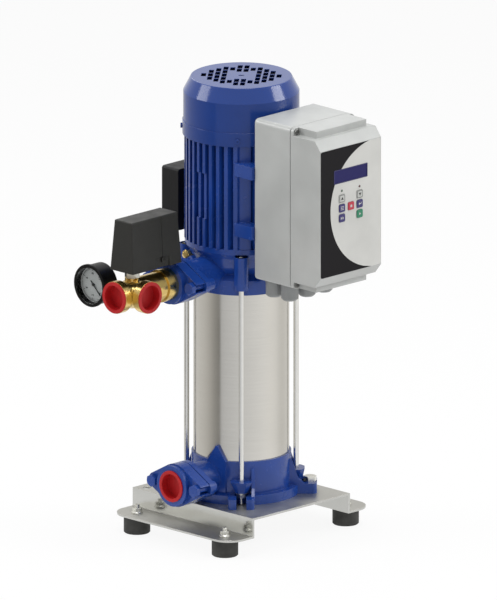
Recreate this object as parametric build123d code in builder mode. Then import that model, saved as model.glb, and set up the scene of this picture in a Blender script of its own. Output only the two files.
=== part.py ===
from build123d import *
import os
from math import cos, radians, sin, sqrt

os.makedirs("parts", exist_ok=True)

# Vertical multistage pump with speed controller, in millimetres.
# +Z is up along the pump axis, Z = 0 is the floor, the ports point to -X and
# the controller panel faces -Y.

# ---------------------------------------------------------------- driving sizes
FIT = 0.05            # radial play of pieces that are pushed together
RUNNING = 0.4         # radial play of a turning piece that must not touch
SEAT = 0.3            # play beside a piece that moves or lies loose

# base
FOOT_DIAMETER = 40.0
FOOT_HEIGHT = 27.0
FOOT_X = 128.0
FOOT_Y = 93.3
SHEET = 3.0
BASE_TOP = 58.0
BASE_HALF_WIDTH = 103.0
BASE_HALF_LENGTH = 127.5
FLANGE_EDGE_X = 154.0
FLANGE_CORNER = 30.0
BEND_INSIDE = 1.5
SPARE_HOLE = 13.0
SPARE_HOLE_X = 91.0
SPARE_HOLE_Y = 110.0

# fasteners
ROD_DIAMETER = 8.0
M8_FLATS = 13.0
M8_NUT = 8.0
M8_NUT_FLANGE = 8.8
M8_NUT_FLANGE_THICKNESS = 1.5
M10_DIAMETER = 10.0
M10_FLATS = 17.0
M10_HEAD = 7.5
M12_DIAMETER = 12.0
M12_FLATS = 18.0
M12_HEAD = 7.5
SCREW_DIAMETER = 4.0
SCREW_HEAD = 7.5
SCREW_HEAD_HEIGHT = 2.8
SCREW_LENGTH = 9.0

# suction casing
CASING_RING_RADIUS = 87.0
CASING_RING_HEIGHT = 14.0
CASING_RADIUS = 75.0
CASING_RIM = 122.0
CASING_FLOOR = 9.0
SUCTION_CAVITY_RADIUS = 58.0
SLEEVE_DEPTH = 10.0
GASKET = 2.0
GASKET_WIDTH = 5.0
FOOT_LUG_RADIUS = 113.5
FOOT_LUG_WIDTH = 40.0
FOOT_LUG_HEIGHT = 15.5
FOOT_LUG_CORNER = 6.0
FOOT_SLOT_WIDTH = 15.0
ROD_POCKET_RADIUS = 10.5
FOUNDATION_RADIUS = 103.0
RIB_THICKNESS = 5.0
RIB_TOP = 112.0
RIB_REACH = 97.0
RIB_KNEE = (85.0, 83.5)
LUG_ROOT = 67.0       # where lugs and gussets start inside the casing wall
ROD_CIRCLE = 82.1
ROD_LUG_TOP = 94.0
ROD_LUG_BOTTOM = 77.0
ROD_LUG_TOP_WIDTH = 32.0
ROD_LUG_BOTTOM_WIDTH = 17.0
ROD_LUG_TOP_REACH = 95.0
ROD_LUG_BOTTOM_REACH = 91.5
ROD_LUG_CORNER = 6.0
PEAK_ANGLE = 196.0
PEAK_TOP = 145.0
PEAK_WIDTH = 31.0
PEAK_TIP_WIDTH = 3.0
PEAK_STAND_OUT = 2.0

# ports
PORT_BORE = 32.0
PORT_THREAD = 41.9
SUCTION_AXIS = 92.6
DISCHARGE_AXIS = 409.0
NOZZLE_RADIUS = 27.0
PORT_BOLT_SPACING = 89.0
PORT_FLANGE_RADIUS = 33.0
PORT_FLANGE_END = 11.5
PORT_FLANGE_THICKNESS = 10.0
LOOSE_FLANGE_THICKNESS = 18.5
PORT_SLOT_WIDTH = 12.0
PORT_GASKET = 1.5
SUCTION_FACE_X = -140.5
DISCHARGE_FACE_X = -149.5
PORT_BOLT_BOSS = 9.0
SUCTION_BOSS_LENGTH = 6.0
DISCHARGE_BOSS_LENGTH = 11.0
COLLAR_RADIUS = 31.2
COLLAR_HEIGHT = 7.5
PLUG_RIM_RADIUS = 24.0
PLUG_RIM = 2.0
PLUG_CUP_RADIUS = 19.0
PLUG_DEPTH = 14.0

# sleeve and stages
SLEEVE_RADIUS = 72.0
SLEEVE_WALL = 2.0
HEAD_RIM = 381.0
STAGE_COUNT = 7
STAGE_RADIUS = 66.0
STAGE_WALL = 2.5
STAGE_PLATE = 3.0
IMPELLER_RADIUS = 50.0
IMPELLER_EYE = 22.0
IMPELLER_SHROUD = 2.0
IMPELLER_WIDTH = 8.0
IMPELLER_VANES = 6
VANE_LINE = ((0, 21.0), (22, 31.5), (45, 41.5), (68, 48.5))   # angle and radius
VANE_TURN = 5.0
IMPELLER_HUB = 12.0
SHAFT_RADIUS = 8.0
BUSH_RADIUS = 12.0
BUSH_LENGTH = 20.0

# discharge head
HEAD_RADIUS = 76.0
HEAD_RIM_HEIGHT = 22.0
HEAD_BOWL = ((65.5, 411.0), (73.0, 422.6), (79.0, 437.6))   # radius and height
HEAD_FLANGE_RADIUS = 85.0
HEAD_FLANGE_THICKNESS = 8.0
HEAD_TOP = 454.0
HEAD_CHAMBER_LOW = 62.0
HEAD_CHAMBER_HIGH = 48.0
HEAD_CHAMBER_HEIGHT = 37.0
SEAL_PLATE = 7.0
LANTERN_RADIUS = 46.0
ROD_BOSS_RADIUS = 11.0
ROD_BOSS_BOTTOM = 392.0
ROD_BOSS_TOP = 443.0
ROD_SEAT_Z = 435.0
ROD_SEAT_RADIUS = 9.3
VENT_X = -88.0
VENT_LEAN = 45.0
VENT_BOSS_RADIUS = 9.0
VENT_BOSS_REACH = 31.0
VENT_BORE = 6.0
VENT_WASHER = 2.0
VENT_HEX = 13.0
VENT_HEX_HEIGHT = 9.0

# manifold
CROSS_X = -231.6
UNION_RADIUS = 25.0
UNION_END_X = -176.0
MANIFOLD_RADIUS = 21.0
MANIFOLD_BORE = 16.5
SOCKET_RADIUS = 24.6
SOCKET_LENGTH = 12.0
FRONT_PORT_X = -268.8
SIDE_PORT_Y = -37.25
SMALL_PORT_RADIUS = 11.0
SMALL_PORT_BORE = 5.0
GAUGE_PORT_Y = 27.0
SWITCH_PORT_RISE = 25.0
POPPET_RADIUS = 15.0
POPPET_SEAT_RADIUS = 12.0
POPPET_STEM = 3.0
POPPET_LIFT = 7.0

# gauge
GAUGE_CENTRE_Y = 75.0
GAUGE_RADIUS = 32.8
GAUGE_DEPTH = 30.0
GAUGE_FACE_X = -248.0
GAUGE_BEZEL = 4.0
GAUGE_WALL = 2.0
DIAL_RADIUS = 28.0
LENS = 2.0

# pressure switch
SWITCH_CENTRE_X = -202.2
SWITCH_LENGTH = 104.5
SWITCH_WIDTH = 48.5
SWITCH_TOP_LENGTH = 97.0
SWITCH_TOP_WIDTH = 37.0
SWITCH_BOTTOM = 446.0
SWITCH_TOP = 524.0
SWITCH_BASE_HEIGHT = 12.0
SWITCH_WALL = 2.5
SWITCH_EDGE = 1.6
SWITCH_BEVEL = 1.2
SWITCH_NOTCH_X = -189.5
SWITCH_NOTCH_WIDTH = 27.0
SWITCH_NOTCH_HEIGHT = 16.0
SWITCH_BOSS_Y = -22.5
SWITCH_GROOVE = 1.2
SWITCH_GROOVE_DEPTH = 0.8

# motor
MOTOR_TOP = 615.0
MOTOR_BORE = 62.0
MOTOR_CORE = 72.0
FIN_RADIUS = 86.0
FIN_PITCH = 12.0
FIN_THICKNESS = 5.0
PORT_SIDE_FINS = 10
PANEL_SIDE_FINS = 8
PAD_WIDTH = 13.0
PAD_INSET = 2.0
PLATE_RECESS_DEPTH = 3.5
PLATE_RECESS_WIDTH = 30.0
PLATE_RECESS_LOW = 498.0
PLATE_RECESS_HIGH = 568.0
SHIELD = 8.0
BEARING_RADIUS = 23.5
BEARING_WIDTH = 14.0
BEARING_WALL = 4.5
MOTOR_SHAFT_RADIUS = 10.0
STATOR_BORE = 45.0
CORE_LOW = 500.0
CORE_LENGTH = 80.0
WINDING_HEIGHT = 14.0
AIR_GAP = 0.5
COUPLING_RADIUS = 15.0
COUPLING_GAP = 2.0
COUPLING_LENGTH = 36.0

# fan and cover
COVER_RISE = 22.0
COVER_RADIUS = 87.3
COVER_BAND_RADIUS = 88.6
COVER_BAND_TOP = 636.0
COVER_SHOULDER = 681.0
COVER_TOP_RADIUS = 76.0
COVER_WALL = 1.2
COVER_SCREW_Z = 624.0
COVER_SCREW_TURN = -3.7
GRILLE_ANGLE = -49.0
GRILLE_PITCH = 10.3
GRILLE_ROW = 19.4
GRILLE_SLOT_WIDTH = 7.5
GRILLE_SLOT_LENGTH = 17.6
GRILLE_MARK = (9.0, 4.5)
FAN_RADIUS = 68.0
FAN_BLADES = 8
FAN_BLADE_HEIGHT = 20.0
FAN_Z = 634.0

# terminal box
TERMINAL_HALF_WIDTH = 45.0
TERMINAL_LOW = 453.0
TERMINAL_HIGH = 548.0
TERMINAL_BACK = 89.0
TERMINAL_SPLIT = 106.0
TERMINAL_FRONT = 127.5
TERMINAL_WALL = 3.0
TERMINAL_EDGE = 4.0
PLINTH_WIDTH = 60.0
PLINTH_LOW = 470.0
PLINTH_HIGH = 532.0

# controller
BOX_HALF_WIDTH = 64.5
BOX_LOW = 416.0
BOX_HIGH = 666.0
BOX_REAR = -91.3
BOX_SPLIT = -167.7
LID_FRONT = -231.8
LID_INSET = 11.0
LID_CHAMFER_RUN = 12.0
LID_CHAMFER_RISE = 15.0
LID_BLOCK_HALF = 53.0
LID_BLOCK_FRONT = -212.0
LID_LEDGE = 6.0
LID_SCREW_X = 58.5
BOX_WALL = 3.0
BOX_EDGE = 7.0
SEAL_STRIP = 1.2
CONTROLLER_LUG_X = 56.0
CONTROLLER_LUG_WIDTH = 26.0
CONTROLLER_LUG_HEIGHT = 20.0
CONTROLLER_LUG_LEVELS = (487.0, 580.0)
GLAND_RADIUS = 14.0
GLAND_LENGTH = 26.0
GLAND_BORE = 5.0
GLAND_PLACES = ((-42.0, -145.0), (-6.0, -145.0), (30.0, -145.0), (-42.0, -112.0))
WINDOW_WIDTH = 69.0
WINDOW_HEIGHT = 19.5
WINDOW_Z = 594.8
WINDOW_THICKNESS = 1.5
KEY_SIZE = 12.0
KEY_CORNER = 2.0
KEY_STAND_OUT = 1.5
KEY_TRAVEL = 0.8
KEY_PLACES = {
    "up_key": (-19.0, 560.0),
    "menu_key": (-19.0, 545.0),
    "shift_key": (-19.0, 529.5),
    "stop_key": (0.0, 545.0),
    "down_key": (18.5, 560.0),
    "enter_key": (18.5, 545.0),
    "start_key": (18.5, 529.5),
}
BOARD_THICKNESS = 1.6

# ------------------------------------------------------------- worked-out sizes
FLANGE_TOP = FOOT_HEIGHT + SHEET
SLEEVE_SEAT = CASING_RIM - SLEEVE_DEPTH
STACK_LOW = SLEEVE_SEAT - GASKET
SLEEVE_TOP = HEAD_RIM + SLEEVE_DEPTH - GASKET
STACK_HIGH = HEAD_RIM + SLEEVE_DEPTH
STAGE_PITCH = (STACK_HIGH - STACK_LOW) / STAGE_COUNT
HEAD_CHAMBER_TOP = STACK_HIGH + HEAD_CHAMBER_HEIGHT
SEAL_PLATE_TOP = HEAD_CHAMBER_TOP + SEAL_PLATE
COUPLING_BOTTOM = SEAL_PLATE_TOP + COUPLING_GAP
COVER_TOP = COVER_SHOULDER + COVER_RISE
SWITCH_PORT_Z = DISCHARGE_AXIS + SWITCH_PORT_RISE
NOZZLE_FACE_OFFSET = LOOSE_FLANGE_THICKNESS + PORT_GASKET
FOUR_CORNERS = (45, 135, 225, 315)
COVER_SCREW_ANGLES = [corner + COVER_SCREW_TURN for corner in FOUR_CORNERS]
BEARING_LOW_Z = HEAD_TOP + SHIELD + COUPLING_LENGTH / 2
FAN_SHIELD_LOW = MOTOR_TOP - SHIELD
BEARING_HIGH_Z = FAN_SHIELD_LOW - BEARING_WIDTH
CORE_HIGH = CORE_LOW + CORE_LENGTH


def hexagon(flats):
    """Radius over the corners of a hexagon with this width over the flats."""
    return flats / sqrt(3)


def upright(x, y, z):
    """Level plane at a point, with X and Y along the model's axes."""
    return Plane(origin=(x, y, z), x_dir=(1, 0, 0), z_dir=(0, 0, 1))


def facing_ports(x, z):
    """Upright plane whose normal points to the port side, -X, and local X to -Y."""
    return Plane(origin=(x, 0, z), x_dir=(0, -1, 0), z_dir=(-1, 0, 0))


def facing_panel(y, x=0.0, z=0.0):
    """Upright plane whose normal points to the panel side, -Y."""
    return Plane(origin=(x, y, z), x_dir=(1, 0, 0), z_dir=(0, -1, 0))


def facing_out(angle, radius, z):
    """Upright plane whose normal points away from the pump axis."""
    spot = (radius * cos(radians(angle)), radius * sin(radians(angle)), z)
    return Plane(
        origin=spot,
        x_dir=(-sin(radians(angle)), cos(radians(angle)), 0),
        z_dir=(cos(radians(angle)), sin(radians(angle)), 0),
    )


def corner_spot(angle, radius):
    """Plan position at an angle and radius about the pump axis."""
    return radius * cos(radians(angle)), radius * sin(radians(angle))


def oval_outline():
    """Oval flange outline about the local origin, with its two bolt ends."""
    Circle(PORT_FLANGE_RADIUS)
    with GridLocations(PORT_BOLT_SPACING, 0, 2, 1):
        Circle(PORT_FLANGE_END)
    make_hull()


def nozzle(face_x, axis_z, boss_length):
    """Add a nozzle from the pump axis to its oval flange, behind the loose flange."""
    flange_x = face_x + NOZZLE_FACE_OFFSET
    boss_x = flange_x + PORT_FLANGE_THICKNESS
    with BuildSketch(facing_ports(0, axis_z)) as neck:
        Circle(NOZZLE_RADIUS)
    extrude(neck.sketch, amount=-flange_x)
    with BuildSketch(facing_ports(boss_x, axis_z)) as oval:
        oval_outline()
    extrude(oval.sketch, amount=PORT_FLANGE_THICKNESS)
    with BuildSketch(facing_ports(boss_x + boss_length, axis_z)) as bosses:
        with GridLocations(PORT_BOLT_SPACING, 0, 2, 1):
            Circle(PORT_BOLT_BOSS)
    extrude(bosses.sketch, amount=boss_length)


def nozzle_holes(face_x, axis_z, inner_x, boss_length):
    """Cut the port bore from inside the casing and the two flange bolt holes."""
    flange_x = face_x + NOZZLE_FACE_OFFSET
    depth = PORT_FLANGE_THICKNESS + boss_length - PORT_GASKET
    with BuildSketch(facing_ports(inner_x, axis_z)) as bore:
        Circle(PORT_BORE / 2)
    extrude(bore.sketch, amount=inner_x - flange_x, mode=Mode.SUBTRACT)
    with BuildSketch(facing_ports(flange_x, axis_z)) as bolt_holes:
        with GridLocations(PORT_BOLT_SPACING, 0, 2, 1):
            Circle(M10_DIAMETER / 2 + FIT)
    extrude(bolt_holes.sketch, amount=-depth, mode=Mode.SUBTRACT)


def counter_flange(face_x, axis_z):
    """Loose oval flange with a round collar, a threaded bore and open bolt slots."""
    back_x = face_x + LOOSE_FLANGE_THICKNESS
    with BuildPart() as flange:
        with BuildSketch(facing_ports(back_x, axis_z)):
            oval_outline()
        extrude(amount=LOOSE_FLANGE_THICKNESS)
        with BuildSketch(facing_ports(face_x, axis_z)):
            Circle(COLLAR_RADIUS)
        extrude(amount=COLLAR_HEIGHT)
        with BuildSketch(facing_ports(back_x, axis_z)):
            Circle(PORT_THREAD / 2)
        extrude(amount=LOOSE_FLANGE_THICKNESS + COLLAR_HEIGHT, mode=Mode.SUBTRACT)
        with BuildSketch(facing_ports(back_x, axis_z)):
            with GridLocations(PORT_BOLT_SPACING, 0, 2, 1):
                Circle(PORT_SLOT_WIDTH / 2)
            with GridLocations(PORT_BOLT_SPACING + 2 * PORT_SLOT_WIDTH, 0, 2, 1):
                Rectangle(2 * PORT_SLOT_WIDTH, PORT_SLOT_WIDTH)
        extrude(amount=LOOSE_FLANGE_THICKNESS, mode=Mode.SUBTRACT)
    return flange


def hex_bolt(seat, diameter, length, flats, head):
    """Add a hex bolt: head outward from the seat plane, shank inward."""
    with BuildSketch(seat) as hexagon_outline:
        RegularPolygon(hexagon(flats), 6)
    extrude(hexagon_outline.sketch, amount=head)
    with BuildSketch(seat) as shank:
        Circle(diameter / 2)
    extrude(shank.sketch, amount=-length)


def cover_screw(seat):
    """Add a small screw: flat round head outward from the seat plane, shank inward."""
    with BuildSketch(seat) as head:
        Circle(SCREW_HEAD / 2)
    extrude(head.sketch, amount=SCREW_HEAD_HEIGHT)
    with BuildSketch(seat) as shank:
        Circle(SCREW_DIAMETER / 2)
    extrude(shank.sketch, amount=-SCREW_LENGTH)


def transport_plug(seat):
    """Add a cup-shaped plug: rim on the seat plane, threaded cup inward."""
    with BuildSketch(seat) as rim:
        Circle(PLUG_RIM_RADIUS)
        Circle(PLUG_CUP_RADIUS, mode=Mode.SUBTRACT)
    extrude(rim.sketch, amount=PLUG_RIM)
    with BuildSketch(seat) as cup:
        Circle(PORT_THREAD / 2 - FIT)
        Circle(PLUG_CUP_RADIUS, mode=Mode.SUBTRACT)
    extrude(cup.sketch, amount=-PLUG_DEPTH)
    with BuildSketch(seat.offset(-PLUG_DEPTH)) as floor:
        Circle(PORT_THREAD / 2 - FIT)
    extrude(floor.sketch, amount=PLUG_RIM)


# ------------------------------------------------------------------------- base
# The base plate is one sheet folded into a hat section along Y.
with BuildPart() as base_plate:
    with BuildSketch(Plane.XZ) as hat:
        with BuildLine():
            Polyline(
                (0, BASE_TOP),
                (BASE_HALF_WIDTH, BASE_TOP),
                (BASE_HALF_WIDTH, FLANGE_TOP),
                (FLANGE_EDGE_X, FLANGE_TOP),
                (FLANGE_EDGE_X, FOOT_HEIGHT),
                (BASE_HALF_WIDTH - SHEET, FOOT_HEIGHT),
                (BASE_HALF_WIDTH - SHEET, BASE_TOP - SHEET),
                (0, BASE_TOP - SHEET),
            )
            mirror(about=Plane.YZ)
        make_face()
        outer_bends = hat.vertices().filter_by(
            lambda v: abs(abs(v.X) - BASE_HALF_WIDTH) < 0.01 and abs(v.Z - BASE_TOP) < 0.01
            or abs(abs(v.X) - BASE_HALF_WIDTH + SHEET) < 0.01 and abs(v.Z - FOOT_HEIGHT) < 0.01
        )
        fillet(outer_bends, BEND_INSIDE + SHEET)
        inner_bends = hat.vertices().filter_by(
            lambda v: abs(abs(v.X) - BASE_HALF_WIDTH + SHEET) < 0.01 and abs(v.Z - BASE_TOP + SHEET) < 0.01
            or abs(abs(v.X) - BASE_HALF_WIDTH) < 0.01 and abs(v.Z - FLANGE_TOP) < 0.01
        )
        fillet(inner_bends, BEND_INSIDE)
    extrude(amount=BASE_HALF_LENGTH, both=True)
    flange_corners = base_plate.edges().filter_by(Axis.Z).filter_by(
        lambda e: abs(e.center().X) > FLANGE_EDGE_X - 1
    )
    fillet(flange_corners, FLANGE_CORNER)
    with Locations(upright(0, 0, FLANGE_TOP)):
        with GridLocations(2 * FOOT_X, 2 * FOOT_Y, 2, 2):
            Hole(ROD_DIAMETER / 2 + SEAT, SHEET)
    with Locations(upright(0, 0, BASE_TOP)):
        with PolarLocations(FOUNDATION_RADIUS, 2, start_angle=135):
            Hole(M12_DIAMETER / 2 + SEAT, SHEET)
        with Locations((SPARE_HOLE_X, SPARE_HOLE_Y), (-SPARE_HOLE_X, SPARE_HOLE_Y)):
            Hole(SPARE_HOLE / 2, SHEET)
base_plate.part.label = "base_plate"
export_step(base_plate.part, "parts/base_plate.step")

with BuildPart() as rubber_feet:
    with BuildSketch():
        with GridLocations(2 * FOOT_X, 2 * FOOT_Y, 2, 2):
            Circle(FOOT_DIAMETER / 2)
    extrude(amount=FOOT_HEIGHT)
    chamfer(rubber_feet.faces().filter_by(Axis.Z).group_by(Axis.Z)[0].edges(), 1.5)
    with Locations(upright(0, 0, FOOT_HEIGHT)):
        with GridLocations(2 * FOOT_X, 2 * FOOT_Y, 2, 2):
            Hole(ROD_DIAMETER / 2 + FIT, FOOT_HEIGHT / 2)
rubber_feet.part.label = "rubber_feet"
export_step(rubber_feet.part, "parts/rubber_feet.step")

FOOT_STUD_TOP = FLANGE_TOP + M8_NUT + 5
with BuildPart() as foot_studs:
    with BuildSketch(Plane.XY.offset(FOOT_HEIGHT / 2)):
        with GridLocations(2 * FOOT_X, 2 * FOOT_Y, 2, 2):
            Circle(ROD_DIAMETER / 2)
    extrude(amount=FOOT_STUD_TOP - FOOT_HEIGHT / 2)
foot_studs.part.label = "foot_studs"
export_step(foot_studs.part, "parts/foot_studs.step")

# --------------------------------------------------------------- suction casing
with BuildPart() as rod_lug:
    for level, width, reach in (
        (ROD_LUG_BOTTOM, ROD_LUG_BOTTOM_WIDTH, ROD_LUG_BOTTOM_REACH),
        (ROD_LUG_TOP, ROD_LUG_TOP_WIDTH, ROD_LUG_TOP_REACH),
    ):
        with BuildSketch(Plane.XY.offset(level)):
            with BuildLine():
                Polyline(
                    (LUG_ROOT, -width / 2),
                    (reach - ROD_LUG_CORNER, -width / 2),
                    (reach, -width / 4),
                    (reach, width / 4),
                    (reach - ROD_LUG_CORNER, width / 2),
                    (LUG_ROOT, width / 2),
                    close=True,
                )
            make_face()
    loft(ruled=True)

# Gussets stand on the outer edges of the foot lugs; none stands beside the nozzle.
GUSSET_PLACES = ((45, -1), (45, 1), (135, -1), (225, 1), (315, -1), (315, 1))
GUSSET_SHIFT = (FOOT_LUG_WIDTH - RIB_THICKNESS) / 2
with BuildPart() as gusset:
    with BuildSketch(Plane.XZ.offset(-RIB_THICKNESS / 2)):
        with BuildLine():
            Polyline(
                (LUG_ROOT, BASE_TOP + CASING_RING_HEIGHT),
                (RIB_REACH, BASE_TOP + CASING_RING_HEIGHT),
                RIB_KNEE,
                (CASING_RADIUS, RIB_TOP),
                (LUG_ROOT, RIB_TOP),
                close=True,
            )
        make_face()
    extrude(amount=RIB_THICKNESS)

# The flat pad beside the nozzle ends in a point above the casing rim.
with BuildPart() as casing_peak:
    with BuildSketch(facing_out(PEAK_ANGLE, 0, 0)):
        with BuildLine():
            Polyline(
                (-PEAK_WIDTH / 2, BASE_TOP),
                (PEAK_WIDTH / 2, BASE_TOP),
                (PEAK_WIDTH / 2, CASING_RIM),
                (PEAK_TIP_WIDTH / 2, PEAK_TOP),
                (-PEAK_TIP_WIDTH / 2, PEAK_TOP),
                (-PEAK_WIDTH / 2, CASING_RIM),
                close=True,
            )
        make_face()
    extrude(amount=CASING_RADIUS + PEAK_STAND_OUT)

with BuildPart() as suction_casing:
    with BuildSketch(Plane.XY.offset(BASE_TOP)):
        Circle(CASING_RING_RADIUS)
    extrude(amount=CASING_RING_HEIGHT)
    with BuildSketch(Plane.XY.offset(BASE_TOP)):
        with PolarLocations(FOOT_LUG_RADIUS / 2, 4, start_angle=45):
            RectangleRounded(FOOT_LUG_RADIUS, FOOT_LUG_WIDTH, FOOT_LUG_CORNER)
    extrude(amount=FOOT_LUG_HEIGHT)
    with BuildSketch(Plane.XY.offset(BASE_TOP)):
        Circle(CASING_RADIUS)
    extrude(amount=CASING_RIM - BASE_TOP)
    with PolarLocations(0, 4, start_angle=45):
        add(rod_lug.part)
    with Locations(*[Rot(0, 0, corner) * Pos(0, side * GUSSET_SHIFT, 0) for corner, side in GUSSET_PLACES]):
        add(gusset.part)
    # nozzle with its oval flange and the pointed pad beside it
    nozzle(SUCTION_FACE_X, SUCTION_AXIS, SUCTION_BOSS_LENGTH)
    add(casing_peak.part)
    # inside: sleeve seat, suction cavity, bush bore, port and rod holes
    with BuildSketch(Plane.XY.offset(STACK_LOW)):
        Circle(SLEEVE_RADIUS + FIT)
    extrude(amount=PEAK_TOP - STACK_LOW, mode=Mode.SUBTRACT)
    with BuildSketch(Plane.XY.offset(BASE_TOP + CASING_FLOOR)):
        Circle(SUCTION_CAVITY_RADIUS)
        Circle(BUSH_RADIUS + 4, mode=Mode.SUBTRACT)
    extrude(amount=STACK_LOW - BASE_TOP - CASING_FLOOR, mode=Mode.SUBTRACT)
    with BuildSketch(Plane.XY.offset(BASE_TOP + CASING_FLOOR + BUSH_LENGTH)):
        Circle(BUSH_RADIUS + 4)
    extrude(amount=STACK_LOW - BASE_TOP - CASING_FLOOR - BUSH_LENGTH, mode=Mode.SUBTRACT)
    with BuildSketch(Plane.XY.offset(BASE_TOP + CASING_FLOOR)):
        Circle(BUSH_RADIUS + FIT)
    extrude(amount=BUSH_LENGTH, mode=Mode.SUBTRACT)
    nozzle_holes(SUCTION_FACE_X, SUCTION_AXIS, -SUCTION_CAVITY_RADIUS + 8, SUCTION_BOSS_LENGTH)
    with BuildSketch(Plane.XY.offset(ROD_LUG_BOTTOM)):
        with PolarLocations(ROD_CIRCLE, 4, start_angle=45):
            Circle(ROD_DIAMETER / 2 + SEAT)
    extrude(amount=ROD_LUG_TOP - ROD_LUG_BOTTOM, mode=Mode.SUBTRACT)
    # the lower rod ends and their nuts hang in round pockets that run out as slots
    with BuildSketch(Plane.XY.offset(BASE_TOP)):
        with PolarLocations(ROD_CIRCLE, 4, start_angle=45):
            Circle(ROD_POCKET_RADIUS)
        with PolarLocations(FOOT_LUG_RADIUS, 4, start_angle=45):
            Rectangle(2 * (FOOT_LUG_RADIUS - ROD_CIRCLE), FOOT_SLOT_WIDTH)
    extrude(amount=ROD_LUG_BOTTOM - BASE_TOP, mode=Mode.SUBTRACT)
suction_casing.part.label = "suction_casing"
export_step(suction_casing.part, "parts/suction_casing.step")

suction_flange = counter_flange(SUCTION_FACE_X, SUCTION_AXIS)
suction_flange.part.label = "suction_flange"
export_step(suction_flange.part, "parts/suction_flange.step")

discharge_flange = counter_flange(DISCHARGE_FACE_X, DISCHARGE_AXIS)
discharge_flange.part.label = "discharge_flange"
export_step(discharge_flange.part, "parts/discharge_flange.step")

FLANGE_BOLT_LENGTH = NOZZLE_FACE_OFFSET + PORT_FLANGE_THICKNESS + SUCTION_BOSS_LENGTH / 2
with BuildPart() as flange_bolts:
    for face_x, axis_z in ((SUCTION_FACE_X, SUCTION_AXIS), (DISCHARGE_FACE_X, DISCHARGE_AXIS)):
        for side in (-1, 1):
            seat = facing_ports(face_x, axis_z)
            spot = seat.from_local_coords((side * PORT_BOLT_SPACING / 2, 0, 0))
            hex_bolt(Plane(spot, x_dir=(0, -1, 0), z_dir=(-1, 0, 0)), M10_DIAMETER, FLANGE_BOLT_LENGTH,
                     M10_FLATS, M10_HEAD)
flange_bolts.part.label = "flange_bolts"
export_step(flange_bolts.part, "parts/flange_bolts.step")

with BuildPart() as foundation_bolts:
    for angle in (135, 315):
        bolt_x, bolt_y = corner_spot(angle, FOUNDATION_RADIUS)
        lug_top = upright(bolt_x, bolt_y, BASE_TOP + FOOT_LUG_HEIGHT)
        hex_bolt(lug_top, M12_DIAMETER, FOOT_LUG_HEIGHT + SHEET + 14, M12_FLATS, M12_HEAD)
        with BuildSketch(upright(bolt_x, bolt_y, BASE_TOP - SHEET)):
            RegularPolygon(hexagon(M12_FLATS), 6)
        extrude(amount=-M12_HEAD)
foundation_bolts.part.label = "foundation_bolts"
export_step(foundation_bolts.part, "parts/foundation_bolts.step")

# ------------------------------------------------- tie rods, nuts and the sleeve
ROD_LOW = BASE_TOP + 1.5
ROD_HIGH = ROD_SEAT_Z + M8_NUT + 0.5
with BuildPart() as tie_rods:
    with BuildSketch(Plane.XY.offset(ROD_LOW)):
        with PolarLocations(ROD_CIRCLE, 4, start_angle=45):
            Circle(ROD_DIAMETER / 2)
    extrude(amount=ROD_HIGH - ROD_LOW)
tie_rods.part.label = "tie_rods"
export_step(tie_rods.part, "parts/tie_rods.step")



def flange_nut(seat):
    """Add a flange nut that bears on the seat plane and stands along its normal."""
    with BuildSketch(seat) as flats:
        RegularPolygon(hexagon(M8_FLATS), 6)
        Circle(ROD_DIAMETER / 2 + FIT, mode=Mode.SUBTRACT)
    extrude(flats.sketch, amount=M8_NUT)
    with BuildSketch(seat) as rim:
        Circle(M8_NUT_FLANGE)
        Circle(ROD_DIAMETER / 2 + FIT, mode=Mode.SUBTRACT)
    extrude(rim.sketch, amount=M8_NUT_FLANGE_THICKNESS)


with BuildPart() as hex_nuts:
    for corner in FOUR_CORNERS:
        rod_x, rod_y = corner_spot(corner, ROD_CIRCLE)
        flange_nut(upright(rod_x, rod_y, ROD_SEAT_Z))
        flange_nut(Plane(origin=(rod_x, rod_y, ROD_LUG_BOTTOM), x_dir=(1, 0, 0), z_dir=(0, 0, -1)))
    for foot_x in (-FOOT_X, FOOT_X):
        for foot_y in (-FOOT_Y, FOOT_Y):
            flange_nut(upright(foot_x, foot_y, FLANGE_TOP))
hex_nuts.part.label = "hex_nuts"
export_step(hex_nuts.part, "parts/hex_nuts.step")

with BuildPart() as pump_sleeve:
    with BuildSketch(Plane.XY.offset(SLEEVE_SEAT)):
        Circle(SLEEVE_RADIUS)
        Circle(SLEEVE_RADIUS - SLEEVE_WALL, mode=Mode.SUBTRACT)
    extrude(amount=SLEEVE_TOP - SLEEVE_SEAT)
pump_sleeve.part.label = "pump_sleeve"
export_step(pump_sleeve.part, "parts/pump_sleeve.step")

# -------------------------------------------------------------- hydraulic stages
STAGE_JOINT = 0.1
STAGE_LEVELS = [(0, 0, STACK_LOW + stage * STAGE_PITCH) for stage in range(STAGE_COUNT)]
IMPELLER_LOW = STAGE_PLATE + 1.5
RETURN_PLATE_LOW = IMPELLER_LOW + 2 * IMPELLER_SHROUD + IMPELLER_WIDTH + 3.5
with BuildPart() as stage_casing:
    with BuildSketch():
        Circle(STAGE_RADIUS)
        Circle(STAGE_RADIUS - STAGE_WALL, mode=Mode.SUBTRACT)
    extrude(amount=STAGE_PITCH - STAGE_JOINT)
    with BuildSketch():
        Circle(STAGE_RADIUS)
        Circle(IMPELLER_EYE + RUNNING, mode=Mode.SUBTRACT)
    extrude(amount=STAGE_PLATE)
    with BuildSketch():
        with PolarLocations((IMPELLER_RADIUS + 4 + STAGE_RADIUS - 1) / 2, IMPELLER_VANES + 1):
            Rectangle(STAGE_RADIUS - IMPELLER_RADIUS - 5, STAGE_WALL, rotation=25)
    extrude(amount=RETURN_PLATE_LOW + STAGE_PLATE)
    with BuildSketch(Plane.XY.offset(RETURN_PLATE_LOW)):
        Circle(IMPELLER_RADIUS + 7)
        Circle(IMPELLER_HUB + RUNNING, mode=Mode.SUBTRACT)
    extrude(amount=STAGE_PLATE)
with BuildPart() as stage_casings:
    with Locations(*STAGE_LEVELS):
        add(stage_casing.part)
stage_casings.part.label = "stage_casings"
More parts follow.
